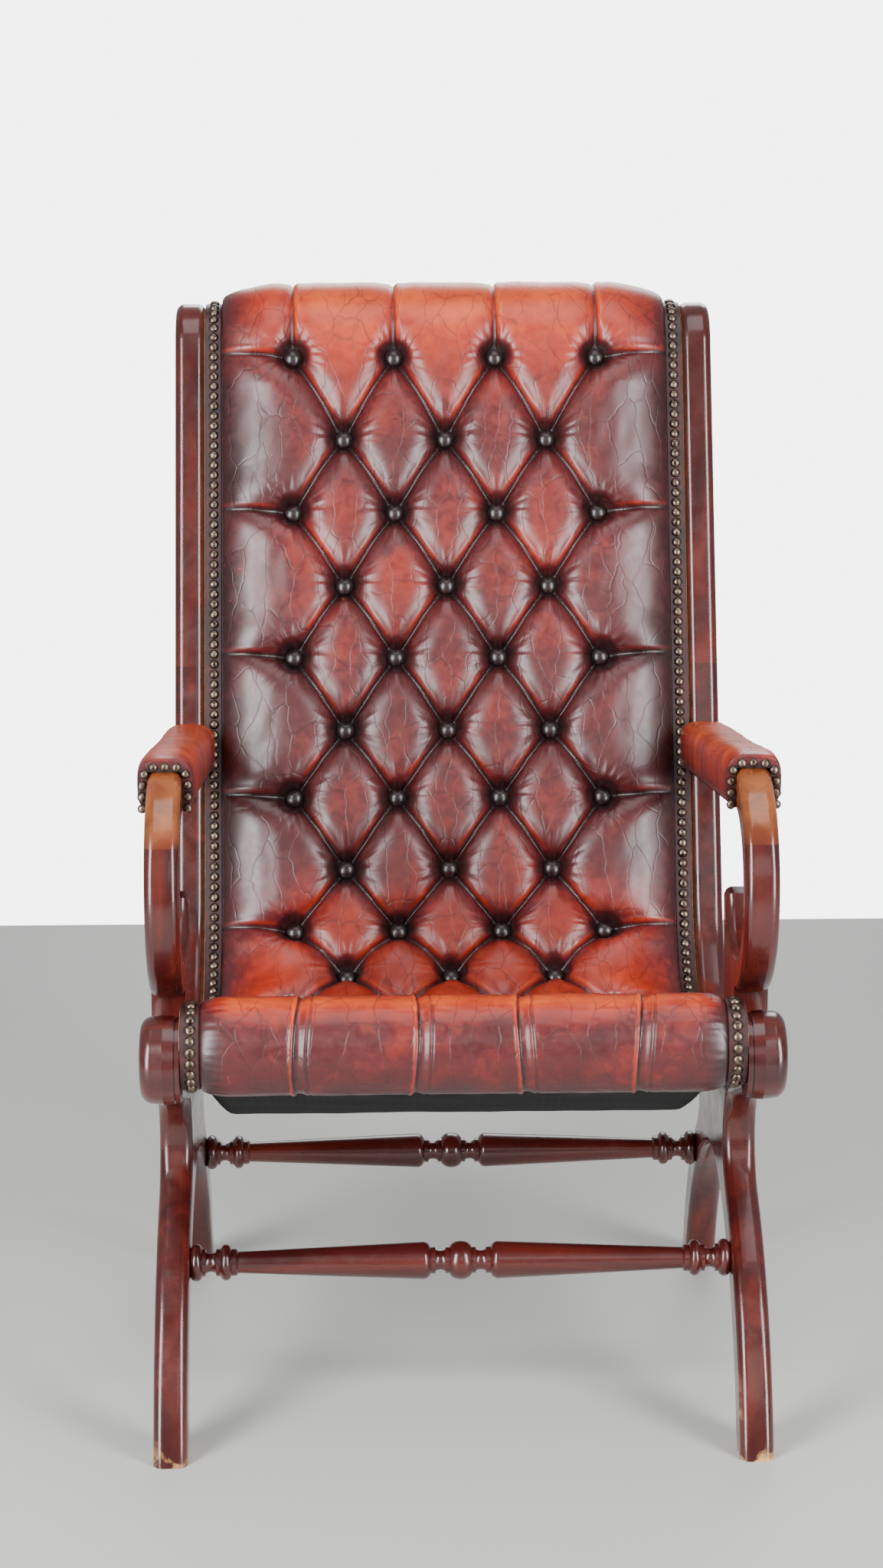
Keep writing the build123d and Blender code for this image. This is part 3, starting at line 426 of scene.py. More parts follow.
# Buttoned panels
buttoned = {
    "halfWidth": 0.2324,
    "columnPitch": 0.1055,
    "rowRuns": [1.0705, 0.9835, 0.9055, 0.8285, 0.7535, 0.6775, 0.6075, 0.5335,
                0.4675, 0.4115, 0.342, 0.273, 0.204, 0.136],
    "seamRun": 0.5005,        # where the seat's panel meets the back's
    "frontRun": 0.045,
    "frontCross": 0.076,      # where the lowest slanting pleats meet
    "tailTurn": math.radians(264),
    "sideClimb": 0.004,       # how far a pleat climbs from its button to the nailed edge
    "longPleat": 0.09,        # pleats that climb further than this fold sideways
    "floor": 0.0003,
    "crestFloor": -0.0012,
    "crown": 0.032,
    "pleat": 0.64,            # height of a pleat away from its buttons, as a share of the crown
    "crestPleat": 0.84,
    "crest": (1.05, 1.12),    # run over which the back turns into the crest
    "pit": 0.0066,
    "pitReach": 0.046,        # distance over which a pleat rises out of its button's pit
    "pitWidth": 0.0132,
    "fullness": 0.0305,       # distance from a pleat at which the hide is at its crown
    "sharpness": 4.0,         # how closely each dome keeps to its nearest pleat
    "groove": (0.0017, 0.0, 0.0019),           # size, distance and width of each fold's groove
    "lip": (0.0013, 0.0058, 0.0028),           # and of the lip on one side of it
    # painted shade darkens each fold line
    "grooveDirt": (0.26, 0.0, 0.0012),
    # painted highlight lightens the lip beside each fold
    "lipRub": (0.24, 0.0046, 0.0020),
    # painted shade, near black, round each button
    "pitDirt": (0.90, 0.0, 0.0142),
    "puckers": (1.0, 0.024, 0.012),            # strongest this far from a button, and their spread
    "puckerHeights": (0.00030, 0.00022),
    "broadWave": 0.0010,
    "longCrease": 0.0003,
    "edge": 0.005,            # thickness at the nailed edges, and least distance to full height
    "edgeReach": 0.044,
    "noseHeight": 0.004,      # the same at the seat's front and at the crest's tail
    "noseReach": 0.024,
    "tailHeight": 0.001,
    "tailReach": 0.016,
    "cell": 0.0018,           # mesh size
    "backCells": 6,           # the hidden face has one cell for this many
}
tailRun = backEnd + buttoned["tailTurn"] * profile["crestRadius"]
# height of the crowns, and how far they are rubbed, at places along the panels
crownAlong = [(buttoned["frontRun"], 0.027), (0.09, 0.031), (1.04, buttoned["crown"]), (backEnd, 0.0265),
              (backEnd + 0.07, 0.0215), (tailRun, 0.008)]
rubAlong = [(0, 0.9), (0.3, 0.86), (0.44, 0.72), (0.56, 0.52), (0.75, 0.5), (0.86, 0.6), (0.95, 0.5),
            (1.04, 0.6), (backEnd, 0.86), (backEnd + 0.05, 1.0), (tailRun, 0.5)]


def buttonPlaces():
    places = []
    for row, run in enumerate(buttoned["rowRuns"]):
        shares = (-1.5, -0.5, 0.5, 1.5) if row % 2 == 0 else (-1, 0, 1)
        places.append([(share * buttoned["columnPitch"], run) for share in shares])
    return places


def pleatLines(rows):
    # every fold of the hide, as (x, run) to (x, run)
    lines = []
    reach = buttoned["columnPitch"] * 0.6         # buttons half a column apart share a pleat
    for upper, lower in zip(rows, rows[1:]):
        lines += [(a, b) for a in upper for b in lower if abs(a[0] - b[0]) < reach]
    for row in rows[::2]:
        for x, run in (row[0], row[-1]):
            side = math.copysign(buttoned["halfWidth"], x)
            lines.append(((x, run), (side, run + buttoned["sideClimb"])))
    lines += [((x, run), (x, tailRun)) for x, run in rows[0]]
    frontRow = [(x, buttoned["frontCross"]) for x, _ in rows[0]]
    lines += [(a, b) for a in rows[-1] for b in frontRow if abs(a[0] - b[0]) < reach]
    lines += [((x, run), (x, buttoned["frontRun"])) for x, run in frontRow]
    return lines


def pleatGaps(x, run, rows):
    # distance to the nearest pleat, a smooth version of it without ridges, and the side it lies on
    nearest = np.full(x.shape, 1.0)
    closeness = np.zeros(x.shape)
    above = np.zeros(x.shape)
    for (x0, r0), (x1, r1) in pleatLines(rows):
        dx, dr = x1 - x0, r1 - r0
        share = np.clip(((x - x0) * dx + (run - r0) * dr) / (dx * dx + dr * dr), 0, 1)
        offX, offRun = x - x0 - share * dx, run - r0 - share * dr
        gap = np.hypot(offX, offRun)
        side = np.sign(offRun) if abs(dr) < buttoned["longPleat"] else np.sign(offX)
        above = np.where(gap < nearest, side, above)
        nearest = np.minimum(nearest, gap)
        closeness += np.maximum(gap, 0.0001) ** -buttoned["sharpness"]
    return nearest, closeness ** (-1 / buttoned["sharpness"]), above


def buttonGaps(x, run, rows):
    # distance to the nearest button, and the way it lies
    buttonGap = np.full(x.shape, 1.0)
    buttonTurn = np.zeros(x.shape)
    for bx, brun in [place for row in rows for place in row]:
        gap = np.hypot(x - bx, run - brun)
        turn = np.arctan2(run - brun, x - bx)
        buttonTurn = np.where(gap < buttonGap, turn, buttonTurn)
        buttonGap = np.minimum(buttonGap, gap)
    return buttonGap, buttonTurn


def hideHeight(x, run):
    # height of the buttoned hide above the webbing, and how far its crown is rubbed, with painted shade and
    # highlight added at its folds and buttons
    look = buttoned
    rows = buttonPlaces()
    nearest, softGap, above = pleatGaps(x, run, rows)
    buttonGap, buttonTurn = buttonGaps(x, run, rows)
    crown = np.interp(run, *zip(*crownAlong))
    out = smoothStep(0.0, look["pitReach"], buttonGap) ** 0.7
    pleatShare = look["pleat"] + (look["crestPleat"] - look["pleat"]) * smoothStep(*look["crest"], run)
    pleat = look["pit"] + (crown * pleatShare - look["pit"]) * out
    share = np.clip(softGap / look["fullness"], 0, 1)
    over = rounded(share, 2.2, 0.80)              # the side whose edge folds over
    under = rounded(share, 2.1, 0.95)
    lip = smoothStep(-1, 1, above)
    height = pleat + (crown - pleat) * (under + (over - under) * lip)
    height -= hump(nearest, *look["groove"])
    height += hump(nearest, *look["lip"]) * lip * out
    # broad unevenness, long creases up the back, and puckers round each button
    height += look["broadWave"] * ripple(x, run, 3, size=0.09)
    height += look["longCrease"] * ripple(x * 3.2, run * 0.7, 11, size=0.05) * share
    pucker = hump(buttonGap, *look["puckers"])
    coarse, fine = look["puckerHeights"]
    height += coarse * pucker * np.sin(buttonTurn * 17 + 9 * ripple(x, run, 5, size=0.2))
    height += fine * pucker * np.sin(buttonTurn * 37 + 4)
    sink = hump(buttonGap, 1.0, 0.0, look["pitWidth"], 4.0)
    height = height * (1 - sink) + look["pit"] * sink
    # rounded down to the nailed edges and to the two ends
    reach = look["edgeReach"] + 1.1 * np.minimum(softGap, 0.04) + 0.008 * smoothStep(0.98, 1.12, run)
    inward = np.clip((look["halfWidth"] - np.abs(x)) / reach, 0, 1)
    height = look["edge"] + (height - look["edge"]) * rounded(inward, 2.4, 0.62)
    nose = np.clip((run - look["frontRun"]) / look["noseReach"], 0, 1)
    height = look["noseHeight"] + (height - look["noseHeight"]) * rounded(nose)
    tail = np.clip((tailRun - run) / look["tailReach"], 0, 1)
    height = look["tailHeight"] + (height - look["tailHeight"]) * rounded(tail)
    # rubbed most on the crowns, less towards the sides of the back; painted highlight on the lips, painted
    # shade in the folds and round the buttons
    onBack = smoothStep(0.4, 0.6, run) * smoothStep(1.2, 1.05, run)
    zone = np.interp(run, *zip(*rubAlong)) * (1 - 0.2 * smoothStep(0.12, 0.2, np.abs(x)) * onBack)
    full = np.clip((height - 0.006) / (crown - 0.006), 0, 1)
    rub = zone * (0.42 + 0.58 * full ** 1.2)
    # painted shade darkens each fold line
    rub -= hump(nearest, *look["grooveDirt"])
    # painted highlight lightens the lip beside each fold
    rub += hump(nearest, *look["lipRub"]) * lip * out
    # painted shade darkens the hide round each button
    rub *= 1 - hump(buttonGap, *look["pitDirt"], 2.8)
    return height, np.clip(rub, 0, 1)


def buttonedPanel(name, start, end):
    columns = int(2 * buttoned["halfWidth"] / buttoned["cell"])
    stations = int((end - start) / buttoned["cell"])
    across = np.linspace(-buttoned["halfWidth"], buttoned["halfWidth"], columns)
    runs = np.linspace(start, end, stations)
    x, run = np.meshgrid(across, runs)
    height, rub = hideHeight(x, run)
    topY, topZ, _, _ = alongProfile(run, height)
    lowX, lowRun = np.meshgrid(across[::-buttoned["backCells"]], runs)
    lowHeight = np.where(lowRun < backEnd - 0.02, buttoned["floor"], buttoned["crestFloor"])
    lowY, lowZ, _, _ = alongProfile(lowRun, lowHeight)
    rings = np.concatenate([np.stack([x, topY, topZ], -1), np.stack([lowX, lowY, lowZ], -1)], axis=1)
    values = {"rub": np.concatenate([rub, np.zeros(lowX.shape)], axis=1)}
    return makeRings(name, rings, values)


seatPanel = buttonedPanel("seatPanel", buttoned["frontRun"], buttoned["seamRun"])
finishPiece(seatPanel, antiquedHide, "oxblood_leather", "buttoned_seat")
backPanel = buttonedPanel("backPanel", buttoned["seamRun"], tailRun)
finishPiece(backPanel, antiquedHide, "oxblood_leather", "buttoned_back")
print("buttoned panels made")

# Front roll
roll = {
    "core": (-0.002, -0.0206),       # run and offset of its centre
    "inner": 0.0363,
    "cover": 0.0078,
    "start": math.radians(15),
    "end": math.radians(290),
    "halfWidth": 0.2324,
    "columns": 520,
    "stations": 96,
    "pleats": [-0.148, -0.043, 0.050, 0.155],
    "pleatSwing": 0.003,
    "pleatDrop": 0.24,               # how much thinner the cover is just beside a pleat,
    "pleatStart": (-0.0006, 0.0008),          # where it drops and where it has risen again
    "pleatEnd": (0.004, 0.011),
    # size, place beside the pleat and width of its folds, in the cover's thickness and in painted shade and
    # highlight
    "foldRises": [(0.10, -0.0022, 0.0018), (-0.10, 0.0125, 0.0012)],
    "foldRubs": [(-0.5, 0.0008, 0.0011), (-0.16, 0.0125, 0.0011), (0.26, -0.002, 0.0018)],
    "rubbed": (0.52, 1.75, 0.5),     # the top front, by its turn round the core
    "endReach": 0.026,
    "seamTurn": 0.12,
}


def frontRoll():
    coreY, coreZ, _, _ = alongProfile(*roll["core"])
    across = np.linspace(-roll["halfWidth"], roll["halfWidth"], roll["columns"])
    turns = np.linspace(roll["start"], roll["end"], roll["stations"])
    x, turn = np.meshgrid(across, turns, indexing="ij")
    arc = turn * (roll["inner"] + roll["cover"])
    share = 1 + 0.06 * ripple(x, arc, 21, size=0.08) + 0.05 * ripple(x * 0.6, arc * 3, 22, size=0.03)
    rub = 0.38 + hump(turn, *roll["rubbed"]) + 0.1 * ripple(x, arc, 25, size=0.06)
    for place in roll["pleats"]:
        gap = x - place - roll["pleatSwing"] * np.sin(turn * 1.3 + place * 40)
        beside = smoothStep(*roll["pleatStart"], gap) * (1 - smoothStep(*roll["pleatEnd"], gap))
        share -= roll["pleatDrop"] * beside
        share += sum(hump(gap, *fold) for fold in roll["foldRises"])
        # painted shade along each pleat line and painted highlight on its raised fold
        rub += sum(hump(gap, *fold) for fold in roll["foldRubs"])
    inward = np.clip((roll["halfWidth"] - np.abs(x)) / roll["endReach"], 0, 1)
    # small gathers near the ends, which are drawn in
    share += 0.05 * np.sin(turn * 34 + 3 * ripple(x, arc, 27, size=0.1)) * (1 - inward) * inward * 4
    share *= 0.12 + 0.88 * rounded(inward)
    seams = np.clip(np.minimum(turn - roll["start"], roll["end"] - turn) / roll["seamTurn"], 0, 1)
    share *= 0.2 + 0.8 * seams ** 0.5
    radius = roll["inner"] + roll["cover"] * share
    rub *= 0.35 + 0.65 * inward
    outer = np.stack([x, coreY + radius * np.cos(turn), coreZ + radius * np.sin(turn)], -1)
    lowX, lowTurn = np.meshgrid(across, turns[::-buttoned["backCells"]], indexing="ij")
    lowY, lowZ = coreY + roll["inner"] * np.cos(lowTurn), coreZ + roll["inner"] * np.sin(lowTurn)
    inner = np.stack([lowX, lowY, lowZ], -1)
    values = {"rub": np.concatenate([np.clip(rub, 0, 1), np.zeros(lowX.shape)], axis=1)}
    return makeRings("frontRollHide", np.concatenate([outer, inner], axis=1), values)


rollPiece = frontRoll()
finishPiece(rollPiece, antiquedHideBright, "oxblood_leather", "front_roll")
print("front roll made")

# Arm pads
armPad = {
    "middleX": 0.266,
    "halfWidth": 0.0262,
    "bearerHalf": 0.0158,
    "rise": 0.0120,
    "noseRise": 0.0068,
    "low": -0.0408,
    "frontY": 0.134,
    "backY": 0.535,                      # near the stile; the pad is cut back to the stile's slope
    "stileGap": 0.0048,
    "bearerGap": 0.0003,
    "noseLength": 0.034,
    "squareness": 0.62,                  # below 1 the section is squarer than an oval
    "topPoint": (0.16328, 0.61616),      # where the bearer's top line starts
    "slope": math.radians(7.2),
    "swell": (0.150, 0.511, 0.1063),     # outer curve of the scroll, with clearance: y, z and radius
    "crease": 0.0006,
    "noseCreases": (0.0002, 0.19, 0.05),
    "stations": 190,
    "around": 60,
}


def armPadPiece(side, name):
    look = armPad
    rings, rubs = [], []
    for s in np.linspace(0, 1, look["stations"]) ** 1.35:       # closer stations at the nose
        y = look["frontY"] + s * (look["backY"] - look["frontY"])
        lineZ = look["topPoint"][1] - (y - look["topPoint"][0]) * math.tan(look["slope"])
        swellGap = look["swell"][2] ** 2 - (y - look["swell"][0]) ** 2
        onScroll = y < look["topPoint"][0]
        woodZ = look["swell"][1] + math.sqrt(swellGap) if onScroll else lineZ + look["bearerGap"]
        puff = rounded(min((y - look["frontY"]) / look["noseLength"], 1))
        fullRise = look["rise"] * (1 + 0.06 * math.sin(s * 9 + side))
        rise = look["noseRise"] + (fullRise - look["noseRise"]) * puff
        half = look["halfWidth"] * (0.95 + 0.05 * puff)
        middle, reach = (rise + look["low"]) / 2, (rise - look["low"]) / 2
        under = math.acos((look["bearerHalf"] / half) ** (1 / look["squareness"]))
        turn = np.linspace(-under, math.pi + under, look["around"])
        px = half * np.sign(np.cos(turn)) * np.abs(np.cos(turn)) ** look["squareness"]
        pz = middle + reach * np.sign(np.sin(turn)) * np.abs(np.sin(turn)) ** look["squareness"]
        crease = look["crease"] * ripple(px * 1.5, np.full(px.shape, y), 31 + side, size=0.04)
        crease += np.sin(y * 620 + 5 * np.sin(turn)) * hump(y, *look["noseCreases"])
        crease *= np.sin(turn) > -0.2
        px, pz = px * (1 + crease / half), pz + crease
        slotTop = woodZ - lineZ
        slot = [(-look["bearerHalf"], look["low"]), (-look["bearerHalf"], slotTop),
                (look["bearerHalf"], slotTop), (look["bearerHalf"], look["low"])]
        xs = np.concatenate([px, [p[0] for p in slot]])
        zs = np.concatenate([pz, [p[1] for p in slot]]) + lineZ
        stileY = bendOutY + (zs - bendOutZ) / math.tan(profile["lean"]) - look["stileGap"]
        ys = look["frontY"] + (stileY - look["frontY"]) * s
        drop = (ys - y) * math.tan(look["slope"])
        rings.append(np.stack([side * (look["middleX"] + xs), ys - profile["middleY"], zs - drop], -1))
        rub = 0.62 + 0.3 * np.sin(turn) + 0.12 * ripple(px * 2, np.full(px.shape, y), 41 + side, size=0.05)
        rubs.append(np.concatenate([rub * (0.55 + 0.45 * puff), np.zeros(4)]))
    return makeRings(name, np.array(rings), {"rub": np.clip(np.array(rubs), 0, 1)})


for side, label in ((1, "right"), (-1, "left")):
    piece = armPadPiece(side, "armPadHide_" + label)
    finishPiece(piece, antiquedHide, "oxblood_leather", "arm_pad_" + label)
print("arm pads made")

# Edge banding, webbing, outside back and dust cover
banding = {"outer": 0.2502, "inner": 0.2327, "low": -0.002, "top": 0.0002, "edge": 0.0007}
rollTrim = {"coreRadius": 0.036, "thick": 0.0022}       # banding round the roll's core


def bandSection(low, top, inner, outer, edge):
    # strip with its upper edges taken off, as offsets and places across
    return [(low, inner), (low, outer), (top - edge, outer), (top, outer - edge),
            (top, inner + edge), (top - edge, inner)]


def bandAlong(name, side, pieces):
    vertices, faces = [], []
    section = bandSection(**banding)
    for kind, start, end, steps in pieces:
        begin = len(vertices)
        for place in np.linspace(start, end, steps):
            for offset, x in section:
                if kind == "profile":
                    y, z, _, _ = alongProfile(place, offset)
                else:
                    coreY, coreZ, _, _ = alongProfile(*roll["core"])
                    radius = rollTrim["coreRadius"] + offset - banding["low"]
                    y, z = coreY + radius * math.cos(place), coreZ + radius * math.sin(place)
                vertices.append((side * x, float(y), float(z)))
        faces += ringFaces(steps, len(section), begin)
    return makeObject(name, vertices, faces, smooth=False)


for side, label in ((1, "right"), (-1, "left")):
    piece = bandAlong("edgeBanding_" + label, side, [("profile", 0.034, tailRun, 260),
                                                     ("roll", roll["start"], roll["end"], 60)])
    finishPiece(piece, bandingHide, "dark_leather", "edge_gimp_" + label)


webbing = {"first": 0.070, "pitch": 0.075, "width": 0.050, "low": -0.0019, "top": -0.0001,
           "halfWidth": 0.2304, "count": 13, "onSeat": 6, "stations": 14}
webStarts = [webbing["first"] + step * webbing["pitch"] for step in range(webbing["count"])]


def webMesh(name, starts):
    vertices, faces = [], []
    low, top, half = webbing["low"], webbing["top"], webbing["halfWidth"]
    for start in starts:
        begin = len(vertices)
        for run in np.linspace(start, start + webbing["width"], webbing["stations"]):
            for offset, x in ((low, -half), (low, half), (top, half), (top, -half)):
                y, z, _, _ = alongProfile(run, offset)
                vertices.append((x, float(y), float(z)))
        faces += ringFaces(webbing["stations"], 4, begin)
    return makeObject(name, vertices, faces, smooth=False)


finishPiece(webMesh("seatWebbing", webStarts[:webbing["onSeat"]]), juteWebbing, "jute", "seat_webbing")
finishPiece(webMesh("backWebbing", webStarts[webbing["onSeat"]:]), juteWebbing, "jute", "back_webbing")


def clothPanel(name, start, end, halfWidth, thickness, sag, seed):
    # closed thin panel: sag gives how far its face stands from the side profile
    columns, stations = 110, 120
    across = np.linspace(-halfWidth, halfWidth, columns)
    x, run = np.meshgrid(across, np.linspace(start, end, stations))
    low = sag(x, run)
    faceY, faceZ, _, _ = alongProfile(run, low)
    backY, backZ, _, _ = alongProfile(run, low - thickness)
    rings = np.concatenate([np.stack([x, faceY, faceZ], -1),
                            np.stack([x, backY, backZ], -1)[:, ::-1]], axis=1)
    rub = 0.46 + 0.14 * ripple(x, run, seed, size=0.12)
    return makeRings(name, rings, {"rub": np.concatenate([rub, rub[:, ::-1]], axis=1)})


outsideBack = {"start": 0.4945, "end": 1.0490, "halfWidth": 0.2500, "offset": -0.0421, "thick": 0.0018,
               "wave": 0.0004, "nailOffset": -0.0440}


def backSag(x, run):
    inside = np.clip((outsideBack["halfWidth"] - np.abs(x)) / 0.05, 0, 1)
    return outsideBack["offset"] + outsideBack["wave"] * ripple(x, run, 51, size=0.2) * inside - 0.0002


backPiece = clothPanel("outsideBackHide", outsideBack["start"], outsideBack["end"],
                       outsideBack["halfWidth"], outsideBack["thick"], backSag, 52)
finishPiece(backPiece, antiquedHide, "oxblood_leather", "outside_back")

dustCover = {"start": 0.046, "end": 0.492, "halfWidth": 0.2495, "offset": -0.0422, "thick": 0.0008,
             "sag": 0.027, "cut": (0.545, 0.500)}       # cut fuller than its opening, so that it hangs


def dustSag(x, run):
    inside = smoothStep(0, 0.035, dustCover["halfWidth"] - np.abs(x))
    along = np.clip((run - dustCover["start"]) / (dustCover["end"] - dustCover["start"]), 0, 1)
    middle = np.sin(math.pi * along)
    front = hump(run, 1.0, dustCover["start"], 0.05)
    droop = dustCover["sag"] * inside * middle ** 0.7
    # its loose front edge hangs in waves
    droop += front * inside * (0.006 + 0.004 * np.sin(x * 55 + 1) + 0.003 * np.sin(x * 131))
    return dustCover["offset"] - droop - 0.0008 * (1 + ripple(x, run, 61, size=0.07)) * inside


dustPiece = clothPanel("dustCoverCloth", dustCover["start"], dustCover["end"], dustCover["halfWidth"],
                       dustCover["thick"], dustSag, 62)
finishPiece(dustPiece, blackCambric, "black_cloth", "dust_cover")
print("banding, webbing, outside back and dust cover made")

# Nails and buttons, set on their lines by one node tree
nails = {"radius": 0.0051, "height": 0.0032, "rim": 0.12, "pitch": 0.01045, "x": 0.241, "offset": 0.0003,
         "unevenness": 0.06}
buttons = {"radius": 0.0092, "height": 0.0060, "rim": 0.35, "offset": 0.0080, "unevenness": 0.05}


def domeMesh(name, radius, height, rimShare):
    # low dome of a few dozen faces, its foot on the origin
    sides = 12
    domeRows = [(1.0, 0.0), (1.0, rimShare), (0.86, 0.55), (0.5, 0.9)]
    turns = [2 * math.pi * s / sides for s in range(sides)]
    vertices = [(radius * r * math.cos(turn), radius * r * math.sin(turn), height * h)
                for r, h in domeRows for turn in turns]
    vertices.append((0, 0, height))
    faces = ringFaces(len(domeRows), sides)[:-1]
    last = (len(domeRows) - 1) * sides
    faces += [(last + s, last + (s + 1) % sides, len(vertices) - 1) for s in range(sides)]
    return makeObject(name, vertices, faces)


def setOnPoints(tree, material, dome):
    # every point carries its own facing; a dome is set on each and turned to it
    tree.interface.new_socket("Geometry", in_out="INPUT", socket_type="NodeSocketGeometry")
    tree.interface.new_socket("Size", in_out="INPUT", socket_type="NodeSocketFloat")
    tree.interface.new_socket("Unevenness", in_out="INPUT", socket_type="NodeSocketFloat")
    tree.interface.new_socket("Geometry", in_out="OUTPUT", socket_type="NodeSocketGeometry")
    inputs = addNode(tree, "NodeGroupInput")
    facing = addNode(tree, "GeometryNodeInputNamedAttribute", {"data_type": "FLOAT_VECTOR", "Name": "facing"})
    align = addNode(tree, "FunctionNodeAlignRotationToVector", {"axis": "Z"}, {"Vector": facing})
    shape = addNode(tree, "GeometryNodeObjectInfo", {"Object": dome})
    jitter = addNode(tree, "FunctionNodeRandomValue", {"data_type": "FLOAT", "Seed": 7})
    least = addNode(tree, "ShaderNodeMath", {"operation": "SUBTRACT"},
                    {0: inputs.outputs["Size"], 1: inputs.outputs["Unevenness"]})
    tree.links.new(least.outputs["Value"], jitter.inputs[2])          # the smallest and largest size
    tree.links.new(inputs.outputs["Size"], jitter.inputs[3])
    setDomes = addNode(tree, "GeometryNodeInstanceOnPoints", links={
        "Points": inputs.outputs["Geometry"], "Instance": shape.outputs["Geometry"],
        "Rotation": align.outputs["Rotation"], "Scale": jitter.outputs[1]})
    real = addNode(tree, "GeometryNodeRealizeInstances", links={"Geometry": setDomes})
    coloured = addNode(tree, "GeometryNodeSetMaterial", {"Material": material}, {"Geometry": real})
    addNode(tree, "NodeGroupOutput", links={"Geometry": coloured})


def setDomesOn(name, places, dome, material, unevenness, size=1.0):
    mesh = bpy.data.meshes.new(name + "Line")
    mesh.from_pydata([p for p, _ in places], [], [])
    mesh.attributes.new("facing", "FLOAT_VECTOR", "POINT").data.foreach_set(
        "vector", np.ravel([f for _, f in places]))
    carrier = bpy.data.objects.new(name + "Line", mesh)
    bpy.context.scene.collection.objects.link(carrier)
    tree = bpy.data.node_groups.new(name + "Tree", "GeometryNodeTree")
    setOnPoints(tree, material, dome)
    modifier = carrier.modifiers.new("setOnPoints", "NODES")
    modifier.node_group = tree
    sockets = {item.name: item.identifier for item in tree.interface.items_tree if item.in_out == "INPUT"}
    modifier[sockets["Size"]] = size
    modifier[sockets["Unevenness"]] = unevenness
    evaluated = carrier.evaluated_get(bpy.context.evaluated_depsgraph_get())
    made = bpy.data.meshes.new_from_object(evaluated)
    carrier.modifiers.clear()
    bpy.data.objects.remove(carrier)
    made.polygons.foreach_set("use_smooth", [True] * len(made.polygons))
    piece = bpy.data.objects.new(name, made)
    bpy.context.scene.collection.objects.link(piece)
    return piece


def profilePlaces(x, start, end, offset, outward=1):
    count = int((end - start) / nails["pitch"])
    places = []
    for run in np.linspace(start, end, count + 1):
        y, z, faceY, faceZ = alongProfile(run, offset)
        places.append(((x, float(y), float(z)), (0.0, float(faceY) * outward, float(faceZ) * outward)))
    return places


def rollPlaces(x):
    coreY, coreZ, _, _ = alongProfile(*roll["core"])
    radius = rollTrim["coreRadius"] + rollTrim["thick"]
    step = nails["pitch"] / radius
    count = int((roll["end"] - roll["start"]) / step)
    turns = [roll["end"] - step * (place + 0.5) for place in range(count)]
    return [((x, float(coreY) + radius * math.cos(t), float(coreZ) + radius * math.sin(t)),
             (0.0, math.cos(t), math.sin(t))) for t in turns]


armNails = {"pitch": 0.0105, "steps": 5, "wrap": 0.0136, "flat": 0.0070, "woodRound": 0.0085,
            "woodDrop": 0.00405, "lift": -0.0004, "size": 0.86}


def armNailPlaces(side):
    # close round the rounded top of the wood, then straight down its sides
    look = armNails
    spots = []
    for step in range(-look["steps"], look["steps"] + 1):
        way = step * look["pitch"]
        turn = min(max((abs(way) - look["flat"]) / look["wrap"], 0), math.pi / 2)
        fallLeft = max(abs(way) - look["flat"] - look["wrap"] * math.pi / 2, 0)
        reach = min(abs(way), look["flat"]) + look["wrap"] * math.sin(turn)
        spots.append((math.copysign(reach, way),
                      look["wrap"] * math.cos(turn) - look["woodRound"] - look["woodDrop"] - fallLeft))
    slope = armPad["slope"]
    frontY = armPad["frontY"] - profile["middleY"] + look["lift"]
    frontZ = armPad["topPoint"][1] + (armPad["topPoint"][0] - armPad["frontY"]) * math.tan(slope)
    facing = (0.0, -math.cos(slope), math.sin(slope))
    return [((side * (armPad["middleX"] + x), frontY + rise * math.sin(slope),
              frontZ + rise * math.cos(slope)), facing) for x, rise in spots]


nailDome = domeMesh("nailShape", nails["radius"], nails["height"], nails["rim"])
buttonDome = domeMesh("buttonShape", buttons["radius"], buttons["height"], buttons["rim"])
for side, label in ((1, "right"), (-1, "left")):
    x = side * nails["x"]
    for name, places, replaced in (
            ("edgeNails_", profilePlaces(x, buttoned["frontRun"], tailRun - nails["pitch"], nails["offset"]),
             "edge_nails_"),
            ("rollNails_", rollPlaces(x), "roll_nails_"),
            ("armNails_", armNailPlaces(side), "arm_nails_")):
        domes = setDomesOn(name + label, places, nailDome, antiqueBrass, nails["unevenness"],
                           armNails["size"] if name == "armNails_" else 1.0)
        finishPiece(domes, antiqueBrass, "antique_brass", replaced + label)
backNailPlaces = []
for side in (-1, 1):
    backNailPlaces += profilePlaces(side * nails["x"], outsideBack["start"] + nails["pitch"],
                                    outsideBack["end"] - nails["pitch"], outsideBack["nailOffset"], -1)
backNails = setDomesOn("outsideBackNails", backNailPlaces, nailDome, antiqueBrass, nails["unevenness"])
finishPiece(backNails, antiqueBrass, "antique_brass", "outside_back_nails")
buttonSpots = []
for x, run in [place for row in buttonPlaces() for place in row]:
    y, z, faceY, faceZ = alongProfile(run, buttons["offset"])
    buttonSpots.append(((x, float(y), float(z)), (0.0, float(faceY), float(faceZ))))
buttonPieces = setDomesOn("tuftingButtons", buttonSpots, buttonDome, buttonHide, buttons["unevenness"])
finishPiece(buttonPieces, buttonHide, "dark_leather", "tufting_buttons")
for shape in (nailDome, buttonDome):
    bpy.data.objects.remove(shape)
print("nails and buttons set")

# Floor, light and camera
studio = {"floor": "#b6b7b4", "floorReach": 9, "sky": "#f4f5f6", "skyStrength": 0.45, "backdropStrength": 6.0,
          "wallY": 1.57}       # the floor ends at the foot of the white wall behind the chair
reach, wallY = studio["floorReach"], studio["wallY"]
corners = [(-reach, -reach, 0), (reach, -reach, 0), (reach, wallY, 0), (-reach, wallY, 0)]
floorMesh = bpy.data.meshes.new("floorPlane")
floorMesh.from_pydata(corners, [], [(0, 1, 2, 3)])
floor = bpy.data.objects.new("floorPlane", floorMesh)
bpy.context.scene.collection.objects.link(floor)
floorSettings = {"Base Color": linearColour(studio["floor"]), "Roughness": 0.6}
floor.data.materials.append(newMaterial("paleFloor", floorSettings)[0])

